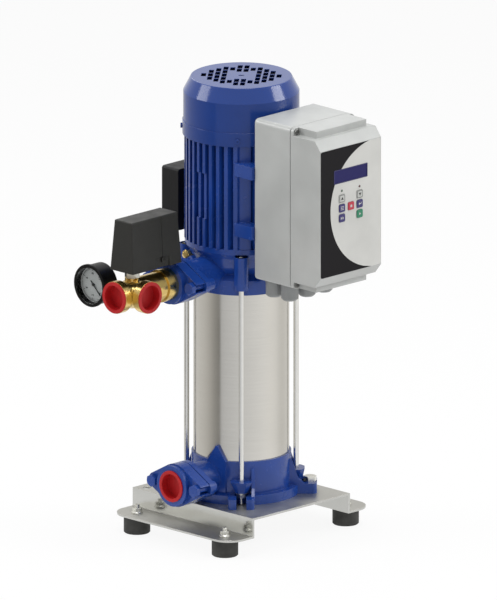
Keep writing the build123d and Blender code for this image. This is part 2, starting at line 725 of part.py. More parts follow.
export_step(stage_casings.part, "parts/stage_casings.step")

with BuildPart() as impeller_vane:
    with BuildSketch(Plane.XY.offset(IMPELLER_LOW + IMPELLER_SHROUD)):
        with BuildLine():
            Polyline(
                *[corner_spot(turn, radius) for turn, radius in VANE_LINE],
                *[corner_spot(turn + VANE_TURN, radius) for turn, radius in reversed(VANE_LINE)],
                close=True,
            )
        make_face()
    extrude(amount=IMPELLER_WIDTH)
with BuildPart() as impeller:
    with BuildSketch(Plane.XY.offset(IMPELLER_LOW)):
        Circle(IMPELLER_RADIUS)
        Circle(IMPELLER_EYE - IMPELLER_SHROUD, mode=Mode.SUBTRACT)
    extrude(amount=IMPELLER_SHROUD)
    with BuildSketch():
        Circle(IMPELLER_EYE)
        Circle(IMPELLER_EYE - IMPELLER_SHROUD, mode=Mode.SUBTRACT)
    extrude(amount=IMPELLER_LOW)
    with BuildSketch(Plane.XY.offset(IMPELLER_LOW + IMPELLER_SHROUD + IMPELLER_WIDTH)):
        Circle(IMPELLER_RADIUS)
    extrude(amount=IMPELLER_SHROUD)
    with BuildSketch(Plane.XY.offset(IMPELLER_SHROUD)):
        Circle(IMPELLER_HUB)
    extrude(amount=STAGE_PITCH - STAGE_JOINT)
    with PolarLocations(0, IMPELLER_VANES):
        add(impeller_vane.part)
    with BuildSketch(Plane.XY.offset(IMPELLER_SHROUD)):
        Circle(SHAFT_RADIUS + FIT)
    extrude(amount=STAGE_PITCH, mode=Mode.SUBTRACT)
with BuildPart() as impellers:
    with Locations(*STAGE_LEVELS):
        add(impeller.part)
impellers.part.label = "impellers"
export_step(impellers.part, "parts/impellers.step")

SHAFT_LOW = BASE_TOP + CASING_FLOOR + 2
SHAFT_JOINT = COUPLING_BOTTOM + COUPLING_LENGTH / 2
with BuildPart() as pump_shaft:
    with BuildSketch(Plane.XY.offset(SHAFT_LOW)):
        Circle(SHAFT_RADIUS)
    extrude(amount=SHAFT_JOINT - SHAFT_LOW)
    chamfer(pump_shaft.edges().filter_by(GeomType.CIRCLE), 0.8)
pump_shaft.part.label = "pump_shaft"
export_step(pump_shaft.part, "parts/pump_shaft.step")

with BuildPart() as bottom_bush:
    with BuildSketch(Plane.XY.offset(BASE_TOP + CASING_FLOOR)):
        Circle(BUSH_RADIUS)
        Circle(SHAFT_RADIUS + FIT, mode=Mode.SUBTRACT)
    extrude(amount=BUSH_LENGTH)
bottom_bush.part.label = "bottom_bush"
export_step(bottom_bush.part, "parts/bottom_bush.step")

SEAL_BORE = SHAFT_RADIUS + 5
with BuildPart() as seal_seat:
    with BuildSketch(Plane.XY.offset(HEAD_CHAMBER_TOP)):
        Circle(SEAL_BORE)
        Circle(SHAFT_RADIUS + RUNNING, mode=Mode.SUBTRACT)
    extrude(amount=SEAL_PLATE)
seal_seat.part.label = "seal_seat"
export_step(seal_seat.part, "parts/seal_seat.step")

SEAL_HEAD_LENGTH = 26.0
with BuildPart() as seal_head:
    with BuildSketch(Plane.XZ):
        with BuildLine():
            Polyline(
                (SHAFT_RADIUS + FIT, HEAD_CHAMBER_TOP - SEAL_HEAD_LENGTH),
                (SEAL_BORE + 4, HEAD_CHAMBER_TOP - SEAL_HEAD_LENGTH),
                (SEAL_BORE + 4, HEAD_CHAMBER_TOP - SEAL_HEAD_LENGTH + 4),
                (SEAL_BORE - 1, HEAD_CHAMBER_TOP - SEAL_HEAD_LENGTH + 4),
                (SEAL_BORE - 1, HEAD_CHAMBER_TOP - 10),
                (SEAL_BORE + 3, HEAD_CHAMBER_TOP - 10),
                (SEAL_BORE + 3, HEAD_CHAMBER_TOP - 3),
                (SEAL_BORE - 1, HEAD_CHAMBER_TOP - 3),
                (SEAL_BORE - 1, HEAD_CHAMBER_TOP - FIT),
                (SHAFT_RADIUS + FIT, HEAD_CHAMBER_TOP - FIT),
                close=True,
            )
        make_face()
    revolve(axis=Axis.Z)
seal_head.part.label = "seal_head"
export_step(seal_head.part, "parts/seal_head.step")

with BuildPart() as shaft_coupling:
    with BuildSketch(Plane.XY.offset(COUPLING_BOTTOM)):
        Circle(COUPLING_RADIUS)
        Circle(SHAFT_RADIUS + FIT, mode=Mode.SUBTRACT)
    extrude(amount=COUPLING_LENGTH)
    with BuildSketch(Plane.XY.offset(COUPLING_BOTTOM + COUPLING_LENGTH / 2)):
        Circle(MOTOR_SHAFT_RADIUS + FIT)
    extrude(amount=COUPLING_LENGTH / 2, mode=Mode.SUBTRACT)
    with Locations(Plane(origin=(0, 0, COUPLING_BOTTOM + COUPLING_LENGTH / 4), z_dir=(1, 0, 0))):
        Hole(2, 2 * COUPLING_RADIUS)
shaft_coupling.part.label = "shaft_coupling"
export_step(shaft_coupling.part, "parts/shaft_coupling.step")

# --------------------------------------------------------------- discharge head
VENT_UP = (0, sin(radians(VENT_LEAN)), cos(radians(VENT_LEAN)))


def vent_plane(reach):
    """Plane across the leaning vent axis, this far from the nozzle axis."""
    spot = (VENT_X, reach * VENT_UP[1], DISCHARGE_AXIS + reach * VENT_UP[2])
    return Plane(origin=spot, x_dir=(1, 0, 0), z_dir=VENT_UP)


with BuildPart() as discharge_head:
    with BuildSketch(Plane.XZ) as bell:
        with BuildLine():
            Polyline(
                (0, HEAD_RIM),
                (HEAD_RADIUS, HEAD_RIM),
                (HEAD_RADIUS, HEAD_RIM + HEAD_RIM_HEIGHT),
                *HEAD_BOWL,
                (HEAD_FLANGE_RADIUS, HEAD_TOP - HEAD_FLANGE_THICKNESS),
                (HEAD_FLANGE_RADIUS, HEAD_TOP),
                (0, HEAD_TOP),
                close=True,
            )
        make_face()
        waist = bell.vertices().filter_by(
            lambda v: HEAD_RIM + 1 < v.Z < HEAD_TOP - HEAD_FLANGE_THICKNESS - 1 and v.X > 1
        )
        fillet(waist, 6)
    revolve(axis=Axis.Z)
    with BuildSketch(Plane.XY.offset(ROD_BOSS_BOTTOM)):
        with PolarLocations(ROD_CIRCLE, 4, start_angle=45):
            Circle(ROD_BOSS_RADIUS)
        with PolarLocations((ROD_CIRCLE + HEAD_CHAMBER_LOW) / 2, 4, start_angle=45):
            Rectangle(ROD_CIRCLE - HEAD_CHAMBER_LOW, 2 * ROD_BOSS_RADIUS)
    extrude(amount=ROD_BOSS_TOP - ROD_BOSS_BOTTOM)
    nozzle(DISCHARGE_FACE_X, DISCHARGE_AXIS, DISCHARGE_BOSS_LENGTH)
    with BuildSketch(vent_plane(0)):
        Circle(VENT_BOSS_RADIUS)
    extrude(amount=VENT_BOSS_REACH)
    # inside: sleeve seat, discharge chamber, seal bore, lantern and rod holes
    with BuildSketch(Plane.XY.offset(HEAD_RIM)):
        Circle(SLEEVE_RADIUS + FIT)
    extrude(amount=SLEEVE_DEPTH, mode=Mode.SUBTRACT)
    with BuildSketch(Plane.XZ):
        with BuildLine():
            Polyline(
                (0, STACK_HIGH),
                (HEAD_CHAMBER_LOW, STACK_HIGH),
                (HEAD_CHAMBER_HIGH, HEAD_CHAMBER_TOP),
                (0, HEAD_CHAMBER_TOP),
                close=True,
            )
        make_face()
    revolve(axis=Axis.Z, mode=Mode.SUBTRACT)
    with BuildSketch(Plane.XY.offset(HEAD_CHAMBER_TOP)):
        Circle(SEAL_BORE + FIT)
    extrude(amount=SEAL_PLATE, mode=Mode.SUBTRACT)
    with BuildSketch(Plane.XY.offset(SEAL_PLATE_TOP)):
        Circle(LANTERN_RADIUS)
    extrude(amount=HEAD_TOP - SEAL_PLATE_TOP, mode=Mode.SUBTRACT)
    nozzle_holes(DISCHARGE_FACE_X, DISCHARGE_AXIS, -HEAD_CHAMBER_HIGH + 8, DISCHARGE_BOSS_LENGTH)
    with BuildSketch(Plane.XY.offset(ROD_BOSS_BOTTOM)):
        with PolarLocations(ROD_CIRCLE, 4, start_angle=45):
            Circle(ROD_DIAMETER / 2 + SEAT)
    extrude(amount=ROD_BOSS_TOP - ROD_BOSS_BOTTOM, mode=Mode.SUBTRACT)
    with BuildSketch(Plane.XY.offset(ROD_SEAT_Z)):
        with PolarLocations(ROD_CIRCLE, 4, start_angle=45):
            Circle(ROD_SEAT_RADIUS)
    extrude(amount=HEAD_TOP - HEAD_FLANGE_THICKNESS - ROD_SEAT_Z, mode=Mode.SUBTRACT)
    with BuildSketch(vent_plane(PORT_BORE / 2 - 2)):
        Circle(VENT_BORE)
    extrude(amount=VENT_BOSS_REACH, mode=Mode.SUBTRACT)
discharge_head.part.label = "discharge_head"
export_step(discharge_head.part, "parts/discharge_head.step")

with BuildPart() as vent_plug:
    with BuildSketch(vent_plane(PORT_BORE / 2 + 2)):
        Circle(VENT_BORE - FIT)
    extrude(amount=VENT_BOSS_REACH + VENT_WASHER - PORT_BORE / 2 - 2)
    with BuildSketch(vent_plane(VENT_BOSS_REACH + VENT_WASHER)):
        RegularPolygon(hexagon(VENT_HEX), 6)
    extrude(amount=VENT_HEX_HEIGHT)
    with BuildSketch(vent_plane(VENT_BOSS_REACH + VENT_WASHER + VENT_HEX_HEIGHT)):
        Circle(VENT_HEX / 3)
    extrude(amount=3)
vent_plug.part.label = "vent_plug"
export_step(vent_plug.part, "parts/vent_plug.step")

with BuildPart() as gaskets:
    for level in (STACK_LOW, SLEEVE_TOP):
        with BuildSketch(Plane.XY.offset(level)):
            Circle(SLEEVE_RADIUS - FIT)
            Circle(SLEEVE_RADIUS - GASKET_WIDTH, mode=Mode.SUBTRACT)
        extrude(amount=GASKET)
    for face_x, axis_z in ((SUCTION_FACE_X, SUCTION_AXIS), (DISCHARGE_FACE_X, DISCHARGE_AXIS)):
        with BuildSketch(facing_ports(face_x + NOZZLE_FACE_OFFSET, axis_z)):
            Circle(PORT_FLANGE_RADIUS - 3)
            Circle(PORT_THREAD / 2, mode=Mode.SUBTRACT)
        extrude(amount=PORT_GASKET)
    with BuildSketch(vent_plane(VENT_BOSS_REACH)):
        Circle(VENT_BOSS_RADIUS)
        Circle(VENT_BORE + FIT, mode=Mode.SUBTRACT)
    extrude(amount=VENT_WASHER)
gaskets.part.label = "gaskets"
export_step(gaskets.part, "parts/gaskets.step")

# ------------------------------------------------ check valve and brass manifold
COLLAR_FACE_X = DISCHARGE_FACE_X - COLLAR_HEIGHT
POPPET_SEAT_X = COLLAR_FACE_X - 1
POPPET_THICKNESS = 3.5
SPIDER_X = UNION_END_X + 4
with BuildPart() as check_valve_body:
    with BuildSketch(facing_ports(DISCHARGE_FACE_X + LOOSE_FLANGE_THICKNESS - 2, DISCHARGE_AXIS)):
        Circle(PORT_THREAD / 2 - FIT)
    extrude(amount=LOOSE_FLANGE_THICKNESS - 2 + COLLAR_HEIGHT)
    with BuildSketch(facing_ports(COLLAR_FACE_X, DISCHARGE_AXIS)):
        Circle(UNION_RADIUS)
    extrude(amount=COLLAR_FACE_X - UNION_END_X)
    with BuildSketch(facing_ports(DISCHARGE_FACE_X + LOOSE_FLANGE_THICKNESS, DISCHARGE_AXIS)):
        Circle(POPPET_SEAT_RADIUS)
    extrude(amount=-UNION_END_X, mode=Mode.SUBTRACT)
    with BuildSketch(facing_ports(POPPET_SEAT_X, DISCHARGE_AXIS)):
        Circle(UNION_RADIUS - 5)
    extrude(amount=-UNION_END_X, mode=Mode.SUBTRACT)
    with BuildSketch(facing_ports(SPIDER_X, DISCHARGE_AXIS)):
        Rectangle(2 * UNION_RADIUS - 8, 4)
        Rectangle(4, 2 * UNION_RADIUS - 8)
        Circle(POPPET_STEM + 3)
        Circle(POPPET_STEM + SEAT, mode=Mode.SUBTRACT)
    extrude(amount=SPIDER_X - UNION_END_X)
check_valve_body.part.label = "check_valve_body"
export_step(check_valve_body.part, "parts/check_valve_body.step")

with BuildPart() as check_valve_poppet:
    with BuildSketch(facing_ports(POPPET_SEAT_X - SEAT, DISCHARGE_AXIS)):
        Circle(POPPET_RADIUS)
    extrude(amount=POPPET_THICKNESS)
    with BuildSketch(facing_ports(POPPET_SEAT_X - SEAT, DISCHARGE_AXIS)):
        Circle(POPPET_STEM)
    extrude(amount=POPPET_SEAT_X - SEAT - UNION_END_X)
check_valve_poppet.part.label = "check_valve_poppet"
export_step(check_valve_poppet.part, "parts/check_valve_poppet.step")

with BuildPart() as outlet_manifold:
    with BuildSketch(facing_ports(UNION_END_X, DISCHARGE_AXIS)):
        Circle(MANIFOLD_RADIUS + 1.5)
    extrude(amount=UNION_END_X - CROSS_X)
    with Locations((CROSS_X, 0, DISCHARGE_AXIS)):
        Sphere(MANIFOLD_RADIUS + 2)
    with BuildSketch(facing_ports(CROSS_X, DISCHARGE_AXIS)):
        Circle(MANIFOLD_RADIUS)
    extrude(amount=CROSS_X - FRONT_PORT_X)
    with BuildSketch(facing_ports(FRONT_PORT_X + SOCKET_LENGTH, DISCHARGE_AXIS)):
        Circle(SOCKET_RADIUS)
    extrude(amount=SOCKET_LENGTH)
    with BuildSketch(facing_panel(0, CROSS_X, DISCHARGE_AXIS)):
        Circle(MANIFOLD_RADIUS)
    extrude(amount=-SIDE_PORT_Y)
    with BuildSketch(facing_panel(SIDE_PORT_Y + SOCKET_LENGTH, CROSS_X, DISCHARGE_AXIS)):
        Circle(SOCKET_RADIUS)
    extrude(amount=SOCKET_LENGTH)
    with BuildSketch(facing_panel(0, CROSS_X, DISCHARGE_AXIS)):
        Circle(SMALL_PORT_RADIUS)
    extrude(amount=-GAUGE_PORT_Y)
    with BuildSketch(upright(CROSS_X, 0, DISCHARGE_AXIS)):
        Circle(SMALL_PORT_RADIUS)
    extrude(amount=SWITCH_PORT_Z - DISCHARGE_AXIS)
    # bores
    with BuildSketch(facing_ports(UNION_END_X, DISCHARGE_AXIS)):
        Circle(MANIFOLD_BORE)
    extrude(amount=UNION_END_X - FRONT_PORT_X, mode=Mode.SUBTRACT)
    with BuildSketch(facing_panel(0, CROSS_X, DISCHARGE_AXIS)):
        Circle(MANIFOLD_BORE)
    extrude(amount=-SIDE_PORT_Y, mode=Mode.SUBTRACT)
    with BuildSketch(facing_ports(FRONT_PORT_X + PLUG_DEPTH, DISCHARGE_AXIS)):
        Circle(PORT_THREAD / 2)
    extrude(amount=PLUG_DEPTH, mode=Mode.SUBTRACT)
    with BuildSketch(facing_panel(SIDE_PORT_Y + PLUG_DEPTH, CROSS_X, DISCHARGE_AXIS)):
        Circle(PORT_THREAD / 2)
    extrude(amount=PLUG_DEPTH, mode=Mode.SUBTRACT)
    with BuildSketch(facing_panel(0, CROSS_X, DISCHARGE_AXIS)):
        Circle(SMALL_PORT_BORE)
    extrude(amount=-GAUGE_PORT_Y, mode=Mode.SUBTRACT)
    with BuildSketch(upright(CROSS_X, 0, DISCHARGE_AXIS)):
        Circle(SMALL_PORT_BORE)
    extrude(amount=SWITCH_PORT_Z - DISCHARGE_AXIS, mode=Mode.SUBTRACT)
outlet_manifold.part.label = "outlet_manifold"
export_step(outlet_manifold.part, "parts/outlet_manifold.step")

with BuildPart() as port_plugs:
    transport_plug(facing_ports(SUCTION_FACE_X - COLLAR_HEIGHT, SUCTION_AXIS))
    transport_plug(facing_ports(FRONT_PORT_X, DISCHARGE_AXIS))
    transport_plug(facing_panel(SIDE_PORT_Y, CROSS_X, DISCHARGE_AXIS))
port_plugs.part.label = "port_plugs"
export_step(port_plugs.part, "parts/port_plugs.step")

# ---------------------------------------------------------------- pressure gauge
GAUGE_BACK_X = GAUGE_FACE_X + GAUGE_DEPTH
DIAL_X = GAUGE_FACE_X + 11
DIAL_THICKNESS = 1.0
NEEDLE_THICKNESS = 0.8
NEEDLE_PIN = 1.2
GAUGE_STEM_FLATS = 14.0
GAUGE_STEM_END_Y = GAUGE_CENTRE_Y - GAUGE_RADIUS + GAUGE_WALL
with BuildPart() as gauge_case:
    with BuildSketch(facing_ports(GAUGE_BACK_X, DISCHARGE_AXIS)):
        with Locations((-GAUGE_CENTRE_Y, 0)):
            Circle(GAUGE_RADIUS - GAUGE_WALL)
    extrude(amount=GAUGE_DEPTH)
    with BuildSketch(facing_ports(GAUGE_FACE_X + GAUGE_BEZEL, DISCHARGE_AXIS)):
        with Locations((-GAUGE_CENTRE_Y, 0)):
            Circle(GAUGE_RADIUS)
    extrude(amount=GAUGE_BEZEL)
    fillet(gauge_case.faces().sort_by(Axis.X)[0].outer_wire().edges(), 1.2)
    with BuildSketch(facing_ports(DIAL_X + DIAL_THICKNESS, DISCHARGE_AXIS)):
        with Locations((-GAUGE_CENTRE_Y, 0)):
            Circle(DIAL_RADIUS)
    extrude(amount=GAUGE_DEPTH, mode=Mode.SUBTRACT)
    with BuildSketch(facing_ports(DIAL_X + 7, DISCHARGE_AXIS)):
        with Locations((-GAUGE_CENTRE_Y, 0)):
            Circle(NEEDLE_PIN + SEAT)
    extrude(amount=GAUGE_DEPTH, mode=Mode.SUBTRACT)
    with BuildSketch(facing_panel(GAUGE_STEM_END_Y + 2, CROSS_X, DISCHARGE_AXIS)):
        Circle(SMALL_PORT_BORE + FIT)
    extrude(amount=2 * GAUGE_WALL, mode=Mode.SUBTRACT)
gauge_case.part.label = "gauge_case"
export_step(gauge_case.part, "parts/gauge_case.step")

with BuildPart() as gauge_dial:
    with BuildSketch(facing_ports(DIAL_X + DIAL_THICKNESS, DISCHARGE_AXIS)):
        with Locations((-GAUGE_CENTRE_Y, 0)):
            Circle(DIAL_RADIUS - FIT)
            Circle(NEEDLE_PIN + SEAT, mode=Mode.SUBTRACT)
    extrude(amount=DIAL_THICKNESS)
gauge_dial.part.label = "gauge_dial"
export_step(gauge_dial.part, "parts/gauge_dial.step")

NEEDLE_X = DIAL_X - SEAT - 1
with BuildPart() as gauge_needle:
    with BuildSketch(facing_ports(NEEDLE_X, DISCHARGE_AXIS)):
        with Locations((-GAUGE_CENTRE_Y, 0)):
            Circle(2 * NEEDLE_PIN)
        with BuildLine():
            Polyline(
                (-GAUGE_CENTRE_Y - 6, 5),
                (-GAUGE_CENTRE_Y - 5, 6),
                (-GAUGE_CENTRE_Y + 15.5, -14.5),
                (-GAUGE_CENTRE_Y + 14.5, -15.5),
                close=True,
            )
        make_face()
    extrude(amount=NEEDLE_THICKNESS)
    with BuildSketch(facing_ports(NEEDLE_X, DISCHARGE_AXIS)):
        with Locations((-GAUGE_CENTRE_Y, 0)):
            Circle(NEEDLE_PIN)
    extrude(amount=NEEDLE_X - DIAL_X - DIAL_THICKNESS - 5)
gauge_needle.part.label = "gauge_needle"
export_step(gauge_needle.part, "parts/gauge_needle.step")

with BuildPart() as gauge_lens:
    with BuildSketch(facing_ports(GAUGE_FACE_X + 1 + LENS, DISCHARGE_AXIS)):
        with Locations((-GAUGE_CENTRE_Y, 0)):
            Circle(DIAL_RADIUS - FIT)
    extrude(amount=LENS)
gauge_lens.part.label = "gauge_lens"
export_step(gauge_lens.part, "parts/gauge_lens.step")

with BuildPart() as gauge_stem:
    with BuildSketch(facing_panel(GAUGE_STEM_END_Y + 2, CROSS_X, DISCHARGE_AXIS)):
        Circle(SMALL_PORT_BORE)
    extrude(amount=GAUGE_STEM_END_Y + 2 - GAUGE_PORT_Y)
    with BuildSketch(facing_panel(GAUGE_STEM_END_Y - 2, CROSS_X, DISCHARGE_AXIS)):
        Rectangle(GAUGE_STEM_FLATS, GAUGE_STEM_FLATS)
    extrude(amount=GAUGE_STEM_END_Y - 2 - GAUGE_PORT_Y)
    with BuildSketch(facing_panel(GAUGE_PORT_Y, CROSS_X, DISCHARGE_AXIS)):
        Circle(SMALL_PORT_BORE - FIT)
    extrude(amount=6)
gauge_stem.part.label = "gauge_stem"
export_step(gauge_stem.part, "parts/gauge_stem.step")

# --------------------------------------------------------------- pressure switch
SWITCH_RISE = SWITCH_TOP - SWITCH_BOTTOM
SWITCH_SCREW_Z = SWITCH_BOTTOM + SWITCH_NOTCH_HEIGHT - SCREW_HEAD / 2 - 1


def switch_section(height, inset=0.0):
    """Length and width of the tapered switch housing at a height above its bottom."""
    share = height / SWITCH_RISE
    length = SWITCH_LENGTH + share * (SWITCH_TOP_LENGTH - SWITCH_LENGTH)
    width = SWITCH_WIDTH + share * (SWITCH_TOP_WIDTH - SWITCH_WIDTH)
    return length - 2 * inset, width - 2 * inset


def tapered_block(low, high, inset=0.0):
    """Lofted block of the switch housing's section between two heights."""
    with BuildPart() as block:
        for height in (low, high):
            with BuildSketch(upright(SWITCH_CENTRE_X, 0, SWITCH_BOTTOM + height)):
                RectangleRounded(*switch_section(height, inset), SWITCH_EDGE)
        loft(ruled=True)
    return block


def notch_block(front_y, back_y, play=0.0):
    """Block in the notch of the hood, between two distances from the pump axis."""
    with BuildPart() as block:
        with BuildSketch(facing_panel(back_y, SWITCH_NOTCH_X, SWITCH_BOTTOM + SWITCH_NOTCH_HEIGHT / 2)):
            Rectangle(SWITCH_NOTCH_WIDTH - 2 * play, SWITCH_NOTCH_HEIGHT - 2 * play)
        extrude(amount=back_y - front_y)
    return block


base_block = tapered_block(0, SWITCH_BASE_HEIGHT, SWITCH_WALL + FIT)
base_boss = notch_block(SWITCH_BOSS_Y, SWITCH_BOSS_Y + 3 * SWITCH_WALL, SEAT)
with BuildPart() as switch_base:
    add(base_block.part)
    add(base_boss.part)
    with BuildSketch(upright(CROSS_X, 0, SWITCH_BOTTOM)):
        Circle(SMALL_PORT_BORE + FIT)
    extrude(amount=SWITCH_BASE_HEIGHT, mode=Mode.SUBTRACT)
    with BuildSketch(facing_panel(SWITCH_BOSS_Y, SWITCH_NOTCH_X, SWITCH_SCREW_Z)):
        Circle(SCREW_DIAMETER / 2 + FIT)
    extrude(amount=-SCREW_LENGTH, mode=Mode.SUBTRACT)
switch_base.part.label = "switch_base"
export_step(switch_base.part, "parts/switch_base.step")

groove_core = tapered_block(0, SWITCH_RISE, SWITCH_GROOVE_DEPTH)
with BuildPart() as switch_groove:
    with BuildSketch(facing_panel(0, SWITCH_NOTCH_X, SWITCH_TOP)):
        Rectangle(SWITCH_GROOVE, 2 * (SWITCH_RISE - SWITCH_NOTCH_HEIGHT))
    extrude(amount=SWITCH_WIDTH)
    add(groove_core.part, mode=Mode.SUBTRACT)

switch_cavity = tapered_block(0, SWITCH_RISE - SWITCH_WALL, SWITCH_WALL)
switch_notch = notch_block(-SWITCH_WIDTH, SWITCH_BOSS_Y + SWITCH_WALL)
cover_block = tapered_block(0, SWITCH_RISE)
with BuildPart() as switch_cover:
    add(cover_block.part)
    chamfer(switch_cover.faces().sort_by(Axis.Z)[-1].edges(), SWITCH_BEVEL)
    add(switch_cavity.part, mode=Mode.SUBTRACT)
    add(switch_notch.part, mode=Mode.SUBTRACT)
    add(switch_groove.part, mode=Mode.SUBTRACT)
switch_cover.part.label = "switch_cover"
export_step(switch_cover.part, "parts/switch_cover.step")

with BuildPart() as switch_nut:
    with BuildSketch(upright(CROSS_X, 0, SWITCH_PORT_Z)):
        RegularPolygon(hexagon(2 * SMALL_PORT_RADIUS - 2), 6)
    extrude(amount=SWITCH_BOTTOM - SWITCH_PORT_Z)
    with BuildSketch(upright(CROSS_X, 0, SWITCH_BOTTOM)):
        Circle(SMALL_PORT_BORE)
    extrude(amount=SWITCH_BASE_HEIGHT + 3)
    with BuildSketch(upright(CROSS_X, 0, SWITCH_PORT_Z)):
        Circle(SMALL_PORT_BORE - FIT)
    extrude(amount=-6)
switch_nut.part.label = "switch_nut"
export_step(switch_nut.part, "parts/switch_nut.step")

# ------------------------------------------------------------------------- motor
PAD_X = PANEL_SIDE_FINS * FIN_PITCH / 2 + PAD_WIDTH / 2
with BuildPart() as motor_housing:
    with BuildSketch(Plane.XY.offset(HEAD_TOP)):
        with GridLocations(0, FIN_PITCH, 1, PORT_SIDE_FINS):
            Rectangle(2 * FIN_RADIUS, FIN_THICKNESS)
        with GridLocations(FIN_PITCH, 0, PANEL_SIDE_FINS, 1):
            Rectangle(FIN_THICKNESS, 2 * FIN_RADIUS)
        Circle(FIN_RADIUS, mode=Mode.INTERSECT)
        Circle(MOTOR_CORE)
        with BuildSketch(mode=Mode.PRIVATE) as pads:
            with GridLocations(2 * PAD_X, 0, 2, 1):
                Rectangle(PAD_WIDTH, 2 * FIN_RADIUS)
            Circle(FIN_RADIUS - PAD_INSET, mode=Mode.INTERSECT)
        add(pads.sketch)
    extrude(amount=MOTOR_TOP - HEAD_TOP)
    with BuildSketch(Plane.YZ.offset(-FIN_RADIUS)):
        with Locations((0, (PLATE_RECESS_LOW + PLATE_RECESS_HIGH) / 2)):
            Rectangle(PLATE_RECESS_WIDTH, PLATE_RECESS_HIGH - PLATE_RECESS_LOW)
    extrude(amount=PLATE_RECESS_DEPTH, mode=Mode.SUBTRACT)
    # lugs that carry the controller, and the plinth of the terminal box
    for level in CONTROLLER_LUG_LEVELS:
        with BuildSketch(facing_panel(BOX_REAR, 0, level)):
            with GridLocations(2 * CONTROLLER_LUG_X, 0, 2, 1):
                Rectangle(CONTROLLER_LUG_WIDTH, CONTROLLER_LUG_HEIGHT)
        extrude(amount=BOX_REAR + MOTOR_BORE - 8)
    with BuildSketch(Plane.XZ.offset(-TERMINAL_BACK)):
        with Locations((0, (PLINTH_LOW + PLINTH_HIGH) / 2)):
            Rectangle(PLINTH_WIDTH, PLINTH_HIGH - PLINTH_LOW)
    extrude(amount=TERMINAL_BACK - MOTOR_CORE + 2)
    with BuildSketch(Plane.XY.offset(HEAD_TOP)):
        Circle(MOTOR_BORE)
    extrude(amount=MOTOR_TOP - HEAD_TOP, mode=Mode.SUBTRACT)
    for level in CONTROLLER_LUG_LEVELS:
        with BuildSketch(facing_panel(BOX_REAR, 0, level)):
            with GridLocations(2 * CONTROLLER_LUG_X, 0, 2, 1):
                Circle(SCREW_DIAMETER / 2 + FIT)
        extrude(amount=-SCREW_LENGTH + BOX_WALL - 1, mode=Mode.SUBTRACT)
motor_housing.part.label = "motor_housing"
export_step(motor_housing.part, "parts/motor_housing.step")


def bearing_carrier(plate_low, bearing_low, hub_low, hub_high):
    """End shield: plate in the housing bore and a hub round the bearing."""
    with BuildPart() as shield:
        with BuildSketch(Plane.XY.offset(plate_low)):
            Circle(MOTOR_BORE - FIT)
        extrude(amount=SHIELD)
        with BuildSketch(Plane.XY.offset(hub_low)):
            Circle(BEARING_RADIUS + BEARING_WALL)
        extrude(amount=hub_high - hub_low)
        with BuildSketch(Plane.XY.offset(min(plate_low, hub_low))):
            Circle(BEARING_RADIUS - 3)
        extrude(amount=max(plate_low + SHIELD, hub_high) - min(plate_low, hub_low), mode=Mode.SUBTRACT)
        with BuildSketch(Plane.XY.offset(bearing_low)):
            Circle(BEARING_RADIUS)
        extrude(amount=BEARING_WIDTH, mode=Mode.SUBTRACT)
    return shield


drive_end_shield = bearing_carrier(HEAD_TOP, BEARING_LOW_Z, HEAD_TOP, BEARING_LOW_Z + BEARING_WIDTH)
drive_end_shield.part.label = "drive_end_shield"
export_step(drive_end_shield.part, "parts/drive_end_shield.step")

EAR_TOP = COVER_SCREW_Z + 7
EAR_RADIUS = COVER_RADIUS - COVER_WALL - FIT
fan_end_carrier = bearing_carrier(FAN_SHIELD_LOW, BEARING_HIGH_Z, BEARING_HIGH_Z, MOTOR_TOP)
with BuildPart() as fan_end_shield:
    add(fan_end_carrier.part)
    with BuildSketch(Plane.XY.offset(MOTOR_TOP)):
        Circle(MOTOR_CORE)
        Circle(MOTOR_BORE - 8, mode=Mode.SUBTRACT)
    extrude(amount=4)
    with BuildSketch(Plane.XY.offset(MOTOR_TOP)) as ears:
        with PolarLocations((EAR_RADIUS + MOTOR_BORE) / 2, 4, start_angle=COVER_SCREW_ANGLES[0]):
            Rectangle(EAR_RADIUS - MOTOR_BORE + 8, 16)
        Circle(EAR_RADIUS, mode=Mode.INTERSECT)
    extrude(amount=EAR_TOP - MOTOR_TOP)
    for angle in COVER_SCREW_ANGLES:
        with BuildSketch(facing_out(angle, EAR_RADIUS + 1, COVER_SCREW_Z)):
            Circle(SCREW_DIAMETER / 2 + FIT)
        extrude(amount=-SCREW_LENGTH, mode=Mode.SUBTRACT)
fan_end_shield.part.label = "fan_end_shield"
export_step(fan_end_shield.part, "parts/fan_end_shield.step")

with BuildPart() as motor_bearings:
    for level in (BEARING_LOW_Z, BEARING_HIGH_Z):
        with BuildSketch(Plane.XY.offset(level)):
            Circle(BEARING_RADIUS - FIT)
            Circle(MOTOR_SHAFT_RADIUS + FIT, mode=Mode.SUBTRACT)
        extrude(amount=BEARING_WIDTH)
motor_bearings.part.label = "motor_bearings"
export_step(motor_bearings.part, "parts/motor_bearings.step")

with BuildPart() as stator_core:
    with BuildSketch(Plane.XY.offset(CORE_LOW)):
        Circle(MOTOR_BORE - FIT)
        Circle(STATOR_BORE, mode=Mode.SUBTRACT)
    extrude(amount=CORE_LENGTH)
stator_core.part.label = "stator_core"
export_step(stator_core.part, "parts/stator_core.step")

with BuildPart() as stator_windings:
    for level in (CORE_LOW - WINDING_HEIGHT, CORE_HIGH):
        with BuildSketch(Plane.XY.offset(level)):
            Circle(MOTOR_BORE - 3)
            Circle(STATOR_BORE + 2, mode=Mode.SUBTRACT)
        extrude(amount=WINDING_HEIGHT)
stator_windings.part.label = "stator_windings"
export_step(stator_windings.part, "parts/stator_windings.step")

